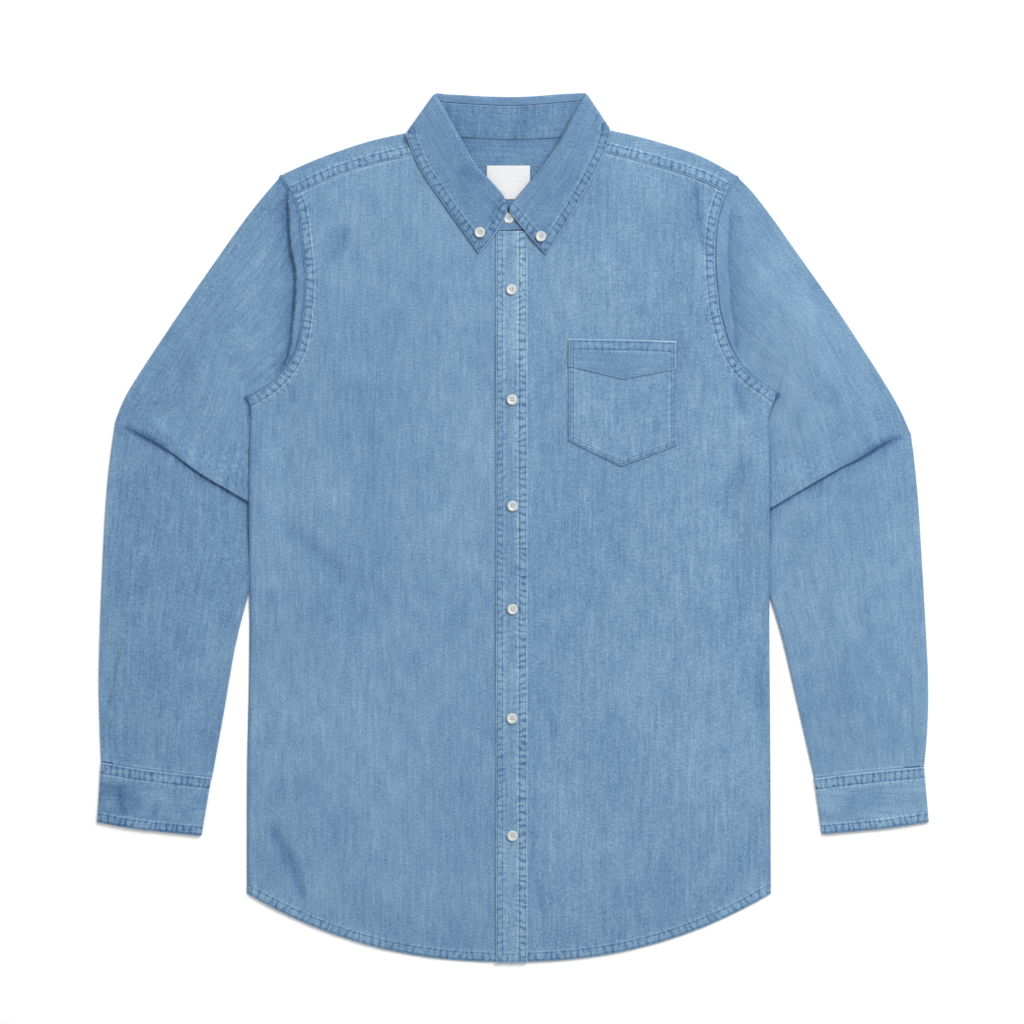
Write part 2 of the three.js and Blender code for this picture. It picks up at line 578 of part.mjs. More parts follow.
// One column of a sleeve, as its upper cloth and the cloth under it. across goes from 0 at the outer
// edge to 1 at the underarm seam.
function sleeveColumn(upperPlan, forearmPlan, across, folds) {
  const sums = lengths(upperPlan);
  const upperLength = sums.at(-1);
  const forearmLength = lengths(forearmPlan).at(-1);
  const lap = elbow.lap * ease((across - elbow.full) / (1 - elbow.full));
  const rolled = ease((across - elbow.step) / (elbow.full - elbow.step));
  const high = ease((across - elbow.start) / (elbow.step - elbow.start));
  const reach = lap + elbow.rise;
  const swelling = ease(across / sleeveSwell.outer) * ease((sleeveSwell.inner - across) / sleeveSwell.outer);
  const upper = [];
  const under = [];
  const upperLift = (x, y, share) => {
    const free = ease(share / sleeveSwell.free);
    return (1 - free) * bodyLift(...upperPlan[0])
      + swelling * (free * sleeveSwell.upper + foldHeight(folds, x, y));
  };
  const last = armholeSteps.underarm;
  const rows = last + sleeveSteps.tuck + 2;
  for (let j = 0; j < rows; j += 1) {
    const past = (j - last) / (rows - last);
    const distance = j <= last ? sums[j] : sums[last] + (upperLength - reach - sums[last]) * past;
    const [x, y] = placeOn(upperPlan, distance);
    upper.push([x, y, upperLevel + upperLift(x, y, distance / upperLength)]);
    under.push([x, y, lowerLevel]);
  }
  const placeFrom = (distance) => (distance < 0
    ? placeOn(upperPlan, upperLength + distance) : placeOn(forearmPlan, distance));
  elbowFold.forEach((row) => {
    const gentle = row.spread * (row.spread < 0 ? reach : elbow.run);
    const folded = row.lap * lap + row.reach;
    const [x, y] = placeFrom(gentle + (folded - gentle) * rolled);
    upper.push([x, y, upperLevel + upperLift(x, y, 1) + row.level * elbow.pitch * high]);
    under.push([...placeFrom(gentle), lowerLevel]);
  });
  for (let j = 1; j <= sleeveSteps.forearm; j += 1) {
    const share = j / sleeveSteps.forearm;
    const [x, y] = placeOn(forearmPlan, elbow.run + (forearmLength - elbow.run) * share);
    const even = ease(share / sleeveSwell.even);
    const height = sleeveSwell.upper + (sleeveSwell.forearm - sleeveSwell.upper) * even;
    const atCuff = 1 - ease((share - sleeveSwell.cuffFrom) / (1 - sleeveSwell.cuffFrom));
    const folded = foldHeight(folds, x, y) * (1 - share / 2);
    upper.push([x, y, upperLevel + swelling * (height * atCuff + folded)]);
    under.push([x, y, lowerLevel]);
  }
  return { upper, under };
}

// The upper and under cloth of a sleeve in one sheet, folded at the outer edge
// and meeting again at the underarm seam
function makeSleeve(side, folds) {
  const plan = sleevePlan(side);
  const columns = plan.upper.map((column, i) => (
    sleeveColumn(column, plan.forearm[i], i / (plan.upper.length - 1), folds)));
  const outer = columns[0].upper;
  const edge = moved(outer, side.sign * foldRadius);
  const fold = [0.25, 0.5, 0.75].map((t) => outer.map((point, j) => {
    const [x, y] = mix(point.slice(0, 2), edge[j], Math.sin(Math.PI * t));
    return [x, y, lowerLevel + foldRadius * (1 + Math.cos(Math.PI * t))];
  }));
  return wall([
    ...reversed(columns).map((column) => column.upper),
    ...fold,
    ...columns.filter((_, i) => i % 2 === 0).map((column) => column.under),
  ], cloth);
}

// A cuff is a closed band pressed flat
function makeCuff(side) {
  const across = 6;
  const rows = 3;
  const lower = cuffWall / 2;
  const upper = cuffWall + layerGap + lower;
  const radius = (upper - lower) / 2;
  const width = Math.abs(side.cuffTop.at(-1)[0] - side.cuffTop[0][0]);
  const narrowed = (curve) => {
    const middle = (curve[0][0] + curve.at(-1)[0]) / 2;
    const share = 1 - (2 * (radius + cuffWall / 2)) / width;
    return along([curve], [across]).map(([x, y]) => [middle + (x - middle) * share, y]);
  };
  const plan = patch(narrowed(side.cuffTop), narrowed(side.cuffEnd), ...[0, -1].map((end) => (
    along([[narrowed(side.cuffTop).at(end), narrowed(side.cuffEnd).at(end)]], [rows]))));
  const turned = (column, direction, share) => column.map(([x, y]) => [
    x + direction * radius * Math.sin(Math.PI * share),
    y,
    lower + radius * (1 + Math.cos(Math.PI * share)),
  ]);
  return wall([
    ...plan.map((column) => turned(column, 0, 0)),
    ...[0.25, 0.5, 0.75].map((share) => turned(plan.at(-1), -side.sign, share)),
    ...[across, across / 2, 0].map((i) => turned(plan[i], 0, 1)),
    ...[0.75, 0.5, 0.25].map((share) => turned(plan[0], side.sign, share)),
  ], cuffWall, true);
}

// Numbers of a table's rows between its rows, on a smooth curve
function sectionsOf(table, count) {
  const keys = Object.keys(table[0]);
  return Array.from({ length: count + 1 }, (_, step) => {
    const place = (step / count) * (table.length - 1);
    const i = Math.min(table.length - 2, Math.floor(place));
    const t = place - i;
    const rows = [-1, 0, 1, 2].map((k) => table[Math.min(table.length - 1, Math.max(0, i + k))]);
    return Object.fromEntries(keys.map((key) => {
      const [a, b, c, d] = rows.map((row) => row[key]);
      return [key, b + 0.5 * t * (c - a + t * (2 * a - 5 * b + 4 * c - d + t * (3 * (b - c) + d - a)))];
    }));
  });
}

// Which way a collar section faces: up on the front, out at the fold and down at the back
function facing(section) {
  const dx = section.freeX - section.x;
  const dy = section.freeY - section.y;
  const length = Math.hypot(dx, dy);
  const side = section.x < 0 ? -1 : 1;
  const angle = THREE.MathUtils.degToRad(section.turn);
  const out = (side * Math.sin(angle)) / length;
  return { along: [dx / length, dy / length], length, out: [-dy * out, dx * out], up: Math.cos(angle) };
}

function makeLeaf() {
  const columns = sectionsOf(collarSections, 40).map((section) => {
    const face = facing(section);
    const turning = Math.sin(THREE.MathUtils.degToRad(section.turn));
    const high = section.height + leafStand * face.up;
    const resting = section.turn < 90
      ? upperLevel + bodyLift(section.freeX, section.freeY) + cloth / 2 + raisedGap + band * leafRest
      : band / 2;
    const free = resting + (high - resting) * turning;
    const at = (from, out, level) => [
      section.x + face.along[0] * from + face.out[0] * (bandBow + out),
      section.y + face.along[1] * from + face.out[1] * (bandBow + out),
      level,
    ];
    const rolled = leafRoll.map(({ from, out }) => at(from, out, section.height + out * face.up));
    const start = leafRoll.at(-1).from;
    const hanging = leafFractions.map((t) => (
      at(start + (face.length - start) * t, leafStand, high + (free - high) * t)));
    return [...rolled, ...hanging];
  });
  return wall(columns, band);
}

function makeNeckband() {
  const bandColumn = (row, out = [0, 0]) => bandFractions.map((t) => [
    row.x + (row.seamX - row.x) * t + out[0] * bandBow * (1 - t),
    row.y + (row.seamY - row.y) * t + out[1] * bandBow * (1 - t),
    row.seamZ + (row.height - row.seamZ) * (1 - t ** bandCurve),
  ]);
  const middle = sectionsOf(collarSections, 40).map((section) => {
    const face = facing(section);
    const from = leafSeam + rollGap;
    const upper = { x: section.x + face.along[0] * from, y: section.y + face.along[1] * from };
    return bandColumn({ ...section, ...upper }, face.out);
  });
  return wall([
    ...bandEnds.right.map((row) => bandColumn(row)),
    ...middle,
    ...bandEnds.left.map((row) => bandColumn(row)),
  ], band);
}

function onFront(wallThickness) {
  return (x, y) => upperLevel + bodyLift(x, y) + cloth / 2 + raisedGap + wallThickness / 2;
}

function makePlacket() {
  const columns = 5;
  const grid = Array.from({ length: columns + 1 }, (_, i) => {
    const x = placket.left + ((placket.right - placket.left) * i) / columns;
    return Array.from({ length: placket.rows + 1 }, (__, j) => {
      const foot = hemAt(x) - 0.5;
      return [x, foot + ((placket.top - foot) * j) / placket.rows];
    });
  });
  return wall(laid(grid, onFront(placket.wall)), placket.wall);
}

function makePocket() {
  const { left, right, top, leftFoot, rightFoot, pointX, pointY } = pocket;
  const topEdge = along([[[left, top], [pointX, top]], [[pointX, top], [right, top]]], [3, 3]);
  const foot = along([[[left, leftFoot], [pointX, pointY]], [[pointX, pointY], [right, rightFoot]]], [3, 3]);
  const first = along([[[left, top], [left, leftFoot]]], [6]);
  const last = along([[[right, top], [right, rightFoot]]], [6]);
  return wall(laid(patch(topEdge, foot, first, last), onFront(pocket.wall)), pocket.wall);
}

// The pocket's facing, folded to the outside and stitched down in a shallow point
function makePocketBand() {
  const left = pocket.left + pocketBand.inset;
  const right = pocket.right - pocketBand.inset;
  const top = pocket.top - pocketBand.inset;
  const leftFoot = top - pocketBand.drop;
  const rightFoot = top - pocketBand.rightDrop;
  const point = top - pocketBand.point;
  const x = pocket.pointX;
  const topEdge = along([[[left, top], [x, top]], [[x, top], [right, top]]], [3, 3]);
  const foot = along([[[left, leftFoot], [x, point]], [[x, point], [right, rightFoot]]], [3, 3]);
  const first = along([[[left, top], [left, leftFoot]]], [2]);
  const last = along([[[right, top], [right, rightFoot]]], [2]);
  const level = (px, py) => onFront(pocket.wall)(px, py) + pocket.wall / 2 + raisedGap + pocketBand.wall / 2;
  return wall(laid(patch(topEdge, foot, first, last), level), pocketBand.wall);
}

function makeLabel() {
  const level = cloth + layerGap + label.wall / 2;
  const grid = [label.left, label.right].map((x) => [[x, label.bottom, level], [x, label.top, level]]);
  return wall(grid, label.wall);
}

function makeButton() {
  const shape = new THREE.Shape();
  shape.absarc(0, 0, button.radius, 0, 2 * Math.PI);
  for (let i = 0; i < 4; i += 1) {
    const angle = (Math.PI / 2) * (i + 0.5);
    const hole = new THREE.Path();
    hole.absarc(button.holeAt * Math.cos(angle), button.holeAt * Math.sin(angle), button.holeRadius,
      0, 2 * Math.PI, true);
    shape.holes.push(hole);
  }
  return new THREE.ExtrudeGeometry(shape, { depth: button.wall, bevelEnabled: false, curveSegments: 6 });
}

// The level at which a round piece just clears what lies under it
function clearLevel(below, x, y, radius) {
  const places = [[0, 0]];
  for (let i = 0; i < 12; i += 1) {
    places.push([radius * Math.cos((Math.PI * i) / 6), radius * Math.sin((Math.PI * i) / 6)]);
  }
  const hits = places.flatMap(([dx, dy]) => {
    const ray = new THREE.Raycaster(
      new THREE.Vector3(x + dx, y + dy, 100), new THREE.Vector3(0, 0, -1));
    return ray.intersectObjects(below).slice(0, 1).map((hit) => hit.point.z);
  });
  return Math.max(...hits);
}

const shirt = new THREE.Group();
shirt.add(
  named("back", makeBack(), denim),
  named("yoke", makeYoke(), denim),
  named("front_right", makeFront(sides.right), denim),
  named("front_left", makeFront(sides.left), denim),
  named("sleeve_right", makeSleeve(sides.right, sleeveFolds.right), denim),
  named("sleeve_left", makeSleeve(sides.left, sleeveFolds.left), denim),
  named("cuff_right", makeCuff(sides.right), denim),
  named("cuff_left", makeCuff(sides.left), denim),
  named("placket", makePlacket(), denim),
  named("pocket", makePocket(), denim),
  named("pocket_band", makePocketBand(), denim),
  named("collar_band", makeNeckband(), denim),
  named("collar_leaf", makeLeaf(), denim),
  named("label", makeLabel(), tape),
);
shirt.updateMatrixWorld(true);
const under = shirt.children.slice();
buttonPlaces.forEach(({ name, x, y }) => {
  const disc = named(name, makeButton(), pearl);
  disc.position.set(x, y, clearLevel(under, x, y, button.radius) + button.gap);
  shirt.add(disc);
});

export default shirt;
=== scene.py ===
import math

import bpy
import numpy as np
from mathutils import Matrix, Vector
from mathutils.bvhtree import BVHTree


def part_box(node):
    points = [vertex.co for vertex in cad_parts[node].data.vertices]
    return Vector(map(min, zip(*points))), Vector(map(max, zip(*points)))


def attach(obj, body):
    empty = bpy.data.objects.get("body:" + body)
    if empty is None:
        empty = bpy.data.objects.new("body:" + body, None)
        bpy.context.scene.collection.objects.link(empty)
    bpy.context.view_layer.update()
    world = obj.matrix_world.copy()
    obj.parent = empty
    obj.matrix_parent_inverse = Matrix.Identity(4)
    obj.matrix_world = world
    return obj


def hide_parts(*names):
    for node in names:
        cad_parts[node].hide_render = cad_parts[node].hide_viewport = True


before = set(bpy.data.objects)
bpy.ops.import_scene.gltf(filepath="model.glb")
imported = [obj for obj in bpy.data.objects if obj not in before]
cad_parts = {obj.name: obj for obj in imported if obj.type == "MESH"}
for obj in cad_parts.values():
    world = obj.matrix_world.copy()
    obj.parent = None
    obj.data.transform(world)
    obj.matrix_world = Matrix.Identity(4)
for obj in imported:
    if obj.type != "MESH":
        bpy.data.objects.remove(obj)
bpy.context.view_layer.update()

# A men's denim shirt laid flat on its back, with its cloth, seams, stitches and buttons.
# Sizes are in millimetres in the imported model's frame, and makePiece turns them into metres.
# Right and left are the wearer's, so the right sleeve is at negative X.

millimetre = 0.001

layers = {
    "lower": 0.5,        # middle of the cloth on the ground
    "upper": 1.9,        # middle of the cloth on top of it
    "fold": 0.7,         # radius of the fold between the two
    "reach": 1.2,        # how far a folded edge stands out past its crease
    "panelHalf": 0.5,    # half of the solid panel's wall
    "raised": 0.45,      # gap under a piece that is sewn on
}
walls = {"cloth": 0.8, "doubled": 1.0, "cuff": 1.1, "label": 0.5}
cells = {"fine": 1.3, "band": 14.0, "coarse": 2.7}   # steps of the grids near seams and elsewhere

body = {
    "middle": -3.5, "hemLow": -434, "hemRise": 68.5, "hemReach": 262, "hemPower": 2.25,
    "swell": 2.6, "swellSide": 75, "swellHem": 60, "swellShoulder": 50,
    "throatY": 305, "throatSpread": 62, "throatHeld": 0.92,
    "shoulderY": 395.5, "shoulderSlope": 0.37, "shoulderFrom": 101,
    "edgeRise": 1.5, "edgeTop": 126, "edgeFull": 98, "edgeLow": -66, "edgeEnd": -100,
    "edgeNear": 12, "edgeFar": 42, "elbowRise": 3.6, "elbowY": 31, "elbowSpan": 52,
    "splitX": 12, "backSeam": 285, "backInset": 2.5,
}

# Plan curves of each side
sides = {
    "right": {
        "sign": -1,
        "shoulder": [(-99, 395.5), (-138.5, 387.0), (-170.5, 377.0), (-201, 365.6), (-231, 352)],
        "yokeSeam": [(-219, 333), (-191, 346.5), (-168, 355.5), (-132, 366), (-94, 375)],
        "armhole": [(-219, 333), (-213, 315.5), (-209.8, 290.5), (-206.6, 262), (-206, 238.5),
                    (-208.5, 207.5)],
        "underarm": [(-208.5, 207.5), (-214.5, 177.5), (-227.5, 155.5), (-247.5, 137.5),
                     (-265.5, 128.5)],
        "side": [(-265.5, 128.5), (-262, 117.5), (-262.5, 87.5), (-263, 27.5), (-262.5, -72.5),
                 (-263, -150), (-264.8, -240), (-265, -366)],
        "neck": [(-94, 375), (-80, 347.5), (-63.5, 323.5), (-43, 306.5), (-24, 298.8), (-10, 296),
                 (12, 296.2)],
        "tuck": [(-266.8, 128.8), (-265.8, 108), (-264, 90), (-257, 72), (-256.5, 22)],
        "tuckLower": [(-256.5, 22), (-256.5, -32), (-262.5, -60.5)],
        "forearmInner": [(-262.5, -60.5), (-276.8, -115.5), (-289.7, -189.5), (-300.8, -250.5)],
        "upperOuter": [(-231, 352), (-263.5, 313), (-306.5, 252.5), (-347.5, 192.5), (-384, 136),
                       (-397, 106)],
        "forearmOuter": [(-397, 106), (-404.5, 47.5), (-409.5, -32.5), (-413.5, -152.5),
                         (-411, -236)],
        "crease": [(-397, 106), (-388.6, 102), (-351.8, 83.3), (-325.7, 64.5), (-304, 49.6),
                   (-262.8, 25.8), (-256.5, 22)],
        "cuffTop": [(-411, -236), (-368.9, -242.9), (-301, -251)], "slit": (-412, -398),
        "cuffEnd": [(-415, -294.2), (-372.5, -301.3), (-310.9, -307.5)],
    },
    "left": {
        "sign": 1,
        "shoulder": [(93.5, 397.5), (131.5, 389), (184.5, 372.5), (224, 351.5)],
        "yokeSeam": [(212.5, 336), (187.5, 348.5), (140, 363.5), (88, 377)],
        "armhole": [(212.5, 336), (203.5, 308.5), (200.9, 278.5), (201.5, 251.5), (205.4, 215.5)],
        "underarm": [(205.4, 215.5), (216, 180), (234, 153.5), (264.3, 131.8)],
        "side": [(264.3, 131.8), (256.5, 114), (256, 87.5), (256.5, 0), (256.5, -92.5),
                 (257.5, -240), (258, -366)],
        "neck": [(88, 377), (75.5, 351.5), (60.5, 326.5), (44.5, 308), (27.5, 299.6), (12, 297.5)],
        "tuck": [(265.6, 132), (260.8, 110), (257.8, 90), (251, 72), (250, 15.5)],
        "tuckLower": [(250, 15.5), (250, -36), (257.5, -68.5)],
        "forearmInner": [(257.5, -68.5), (270.5, -112.5), (284.5, -172.5), (302.7, -251.8)],
        "upperOuter": [(224, 351.5), (239.8, 335.2), (258, 311.8), (289.5, 267.5), (331.5, 207.5), (380, 131.5),
                       (398.5, 93)],
        "forearmOuter": [(398.5, 93), (405.5, 27.5), (413.8, -112.5), (415.6, -158), (414.8, -200),
                         (411.4, -240.5)],
        "crease": [(398.5, 93), (383.5, 90), (368.5, 83.5), (343.5, 68.5), (317.1, 54.5),
                   (259, 20.5), (250, 15.5)],
        "cuffTop": [(411.4, -240.5), (356, -245.5), (301.7, -251.8)], "slit": (389, 409),
        "cuffEnd": [(416, -294.1), (368, -300.8), (309.3, -305.9)],
    },
}


# Curves and grids

def ease(value):
    t = np.clip(value, 0.0, 1.0)
    return t * t * (3 - 2 * t)


def hump(distance, width):
    return np.exp(-(distance / width) ** 2)


def curve(points, steps=24):
    # a smooth line through the points, with as many steps between each two
    p = np.array(points, float)
    if len(p) == 2:
        return p
    before = np.vstack([p[:1], p[:-2]])
    after = np.vstack([p[2:], p[-1:]])
    t = np.linspace(0, 1, steps, endpoint=False)[None, :, None]
    a, b, c, d = (q[:, None, :] for q in (before, p[:-1], p[1:], after))
    bent = b + 0.5 * t * (c - a + t * (2 * a - 5 * b + 4 * c - d + t * (3 * (b - c) + d - a)))
    return np.vstack([bent.reshape(-1, p.shape[1]), p[-1:]])


def run(line):
    gaps = np.linalg.norm(np.diff(line, axis=0), axis=1)
    return np.concatenate([[0.0], np.cumsum(gaps)])


def sample(line, fractions):
    along = run(line)
    return placeOn(line, along, np.asarray(fractions) * along[-1])


def placeOn(line, along, distances):
    return np.stack([np.interp(distances, along, line[:, k]) for k in range(line.shape[1])], -1)


def moved(line, distance):
    # a plan line moved to the left of its direction
    step = np.gradient(line, axis=0)
    step /= np.linalg.norm(step, axis=1)[:, None]
    return line + distance * np.stack([-step[:, 1], step[:, 0]], 1)


def chain(*lines):
    return np.vstack([line if k == 0 else line[1:] for k, line in enumerate(lines)])


def spread(length, fineStart=False, fineEnd=False, coarse=cells["coarse"], fine=cells["fine"]):
    # fractions of a length, with small steps in the seam band at either end
    marks = [0.0]
    band = min(cells["band"], length / 3)
    fineSteps = int(round(band / fine))
    start = band if fineStart else 0.0
    end = length - band if fineEnd else length
    if fineStart:
        marks += list(np.linspace(0, band, fineSteps + 1)[1:])
    marks += list(np.linspace(start, end, max(2, int(round((end - start) / coarse))) + 1)[1:])
    if fineEnd:
        marks += list(np.linspace(end, length, fineSteps + 1)[1:])
    return np.array(marks) / length


def patch(start, end, first, last):
    # the plan grid that fills four edges: start and end run across, first and last run along
    across = (run(start) / run(start)[-1] + run(end) / run(end)[-1]) / 2
    down = (run(first) / run(first)[-1] + run(last) / run(last)[-1]) / 2
    s, t = across[:, None, None], down[None, :, None]
    return ((1 - t) * start[:, None] + t * end[:, None] + (1 - s) * first[None] + s * last[None]
            - (1 - s) * (1 - t) * start[0] - s * (1 - t) * start[-1]
            - (1 - s) * t * end[0] - s * t * end[-1])


def softNoise(x, y, cell, seed):
    lattice = np.random.default_rng(seed).uniform(-1, 1, (512, 512))
    u, v = np.asarray(x) / cell + 256, np.asarray(y) / cell + 256
    i, j = np.floor(u).astype(int), np.floor(v).astype(int)
    f, g = ease(u - i), ease(v - j)
    a, b = lattice[i % 512, j % 512], lattice[(i + 1) % 512, j % 512]
    c, d = lattice[i % 512, (j + 1) % 512], lattice[(i + 1) % 512, (j + 1) % 512]
    return (a * (1 - f) + b * f) * (1 - g) + (c * (1 - f) + d * f) * g


def nearLine(x, y, line, reach=20.0, step=4.0):
    # how far each place is from a plan line, and how far along the line its nearest point is
    line = sample(line, np.linspace(0, 1, max(2, int(run(line)[-1] / step)) + 1))
    flat = np.stack([np.ravel(x), np.ravel(y)], 1)
    distance = np.full(len(flat), 3 * reach)
    along = np.zeros(len(flat))
    inside = np.where(((flat > line.min(0) - reach) & (flat < line.max(0) + reach)).all(1))[0]
    starts, spans, sums = line[:-1], np.diff(line, axis=0), run(line)
    lengths = np.linalg.norm(spans, axis=1)
    for block in np.array_split(inside, max(1, len(inside) // 20000)):
        away = flat[block][:, None] - starts[None]
        t = np.clip((away * spans).sum(2) / lengths ** 2, 0, 1)
        gap = np.linalg.norm(away - t[..., None] * spans, axis=2)
        best = gap.argmin(1)
        rows = np.arange(len(block))
        distance[block] = gap[rows, best]
        along[block] = sums[best] + t[rows, best] * lengths[best]
    return distance.reshape(np.shape(x)), along.reshape(np.shape(x))


# The body's form

def hemAt(x):
    share = np.abs(x - body["middle"]) / body["hemReach"]
    return body["hemLow"] + body["hemRise"] * share ** body["hemPower"]


# Soft folds of the cloth. A row runs from x1, y1 to x2, y2, and a negative height is a trough.
bodyFolds = [
    {"x1": 190, "y1": 335, "x2": 176, "y2": 215, "width": 16, "height": 1.6},
    {"x1": -198, "y1": 330, "x2": -168, "y2": 120, "width": 20, "height": 1.1},
    {"x1": 62, "y1": 280, "x2": 190, "y2": 160, "width": 26, "height": 0.9},
    {"x1": -50, "y1": 250, "x2": -110, "y2": 60, "width": 28, "height": 0.9},
    {"x1": 150, "y1": 20, "x2": 235, "y2": -190, "width": 24, "height": 1.2},
    {"x1": -200, "y1": -60, "x2": -120, "y2": -290, "width": 26, "height": 1.0},
    {"x1": 40, "y1": -180, "x2": 70, "y2": -400, "width": 20, "height": -0.8},
]
# Sharper creases that only the finished cloth has
bodyCreases = [
    {"x1": -240, "y1": -300, "x2": -219, "y2": -341, "width": 6, "height": -1.5},
    {"x1": -219, "y1": -341, "x2": -209, "y2": -372, "width": 4.5, "height": -1.2},
    {"x1": -167, "y1": 300, "x2": -183, "y2": 262, "width": 7, "height": -1.3},
    {"x1": -222, "y1": 143, "x2": -219, "y2": 122, "width": 4, "height": -1.0},
    {"x1": 24, "y1": -350, "x2": 32, "y2": -392, "width": 4, "height": -0.7},
    {"x1": 182, "y1": 342, "x2": 187, "y2": 297, "width": 4, "height": -1.2},
    {"x1": 187, "y1": 297, "x2": 194, "y2": 270, "width": 4, "height": -1.0},
    {"x1": 222, "y1": 146, "x2": 233, "y2": 108, "width": 5, "height": -1.2},
    {"x1": 236, "y1": 70, "x2": 200, "y2": 20, "width": 9, "height": -0.8},
    {"x1": -232, "y1": 10, "x2": -170, "y2": -50, "width": 10, "height": -0.7},
    {"x1": 246, "y1": -110, "x2": 250, "y2": -230, "width": 5, "height": -0.8},
]


def foldHeight(folds, x, y):
    total = np.zeros(np.shape(x))
    for fold in folds:
        dx, dy = fold["x2"] - fold["x1"], fold["y2"] - fold["y1"]
        t = ((x - fold["x1"]) * dx + (y - fold["y1"]) * dy) / (dx * dx + dy * dy)
        near = np.clip(t, 0, 1)
        away = np.hypot(x - fold["x1"] - dx * near, y - fold["y1"] - dy * near)
        ends = ease((t + 0.15) / 0.35) * ease((1.15 - t) / 0.35)
        total = total + fold["height"] * ends * hump(away, fold["width"])
    return total


def bodyLift(x, y):
    inward = body["hemReach"] - np.abs(x - body["middle"])
    shoulder = body["shoulderY"] - body["shoulderSlope"] * np.maximum(0, np.abs(x) - body["shoulderFrom"])
    throat = body["throatHeld"] * hump(np.hypot(x, y - body["throatY"]), body["throatSpread"])
    shape = (ease(inward / body["swellSide"]) * ease((y - hemAt(x)) / body["swellHem"])
             * ease((shoulder - y) / body["swellShoulder"]) * (1 - throat))
    elbow = body["elbowRise"] * np.exp(-((y - body["elbowY"]) / body["elbowSpan"]) ** 4)
    along = (ease((body["edgeTop"] - y) / (body["edgeTop"] - body["edgeFull"]))
             * ease((y - body["edgeEnd"]) / (body["edgeLow"] - body["edgeEnd"])))
    across = 1 - ease((inward - body["edgeNear"]) / (body["edgeFar"] - body["edgeNear"]))
    swell = body["swell"] + foldHeight(bodyFolds, x, y)
    return shape * swell + (body["edgeRise"] + elbow) * along * across


def looseCloth(x, y, seed, amount=1.0):
    # the shallow unevenness of pressed cloth
    return amount * (0.45 * softNoise(x, y * 0.6, 70, seed) + 0.22 * softNoise(x, y * 0.7, 27, seed + 1)
                     + 0.07 * softNoise(x, y, 11, seed + 2))


# Seams. Washing draws the cloth along a seam into short ridges that wear pale, with dark valleys.
# rows are where the material paints shade along the two stitched lines of a seam that is 9 wide.
seamForm = {"reach": 26.0, "ridge": 0.22, "ridgeStep": 5.5, "stitchSink": 0.25, "row": 1.6, "rows": (1.7, 8.2)}


def sewn(x, y, seams):
    # what the seams do to each place: how high they lift it and how pale its edge is, and where it
    # lies across and along the nearest seam, which the denim's material reads
    lift, wearAndShade = np.zeros(x.shape), np.zeros(x.shape)
    mark = np.dstack([np.full(x.shape, 60.0), np.zeros(x.shape), np.zeros(x.shape)])
    for k, seam in enumerate(seams):
        distance, along = nearLine(x, y, seam["line"], seamForm["reach"])
        width, strength = seam["width"], seam.get("strength", 1.0)
        inBand = ease((width + 0.9 - distance) / 1.6)
        ridges = softNoise(along, distance * 0.3, seamForm["ridgeStep"], 200 + k)
        rows = hump(distance - seam.get("row", seamForm["row"]), 0.7) + hump(distance - width + 0.8, 0.7)
        lift += inBand * (seam["rise"] + seamForm["ridge"] * strength * ridges) - seamForm["stitchSink"] * rows
        wearAndShade += seam.get("edge", 0.3) * hump(distance - 0.3, 0.75) + seam.get("shade", 0.0) * inBand
        first, last = seam.get("rows", (seamForm["rows"][0] * width / 9, seamForm["rows"][1] * width / 9))
        across = np.interp(distance, [0, first, last, last + 60], [0, *seamForm["rows"], seamForm["rows"][1] + 60])
        nearer = (across < mark[..., 0])[..., None]
        mark = np.where(nearer, np.dstack([across, seam.get("pace", 1.0) * along + 131.0 * k, np.full(x.shape, strength)]), mark)
    return lift, wearAndShade, mark


def inset(line, distance, toward):
    # a row of stitches beside a line, on the side where the given place is
    smooth = sample(line, np.linspace(0, 1, max(2, int(run(line)[-1] / 3))))
    one, other = moved(smooth, distance), moved(smooth, -distance)
    nearer = np.linalg.norm(one - toward, axis=1).mean() < np.linalg.norm(other - toward, axis=1).mean()
    return one if nearer else other


def rounded(distance, drop=0.55, width=1.6):
    # how far a turned edge rolls down
    return -drop * (1 - ease(distance / width)) ** 2


# Meshes

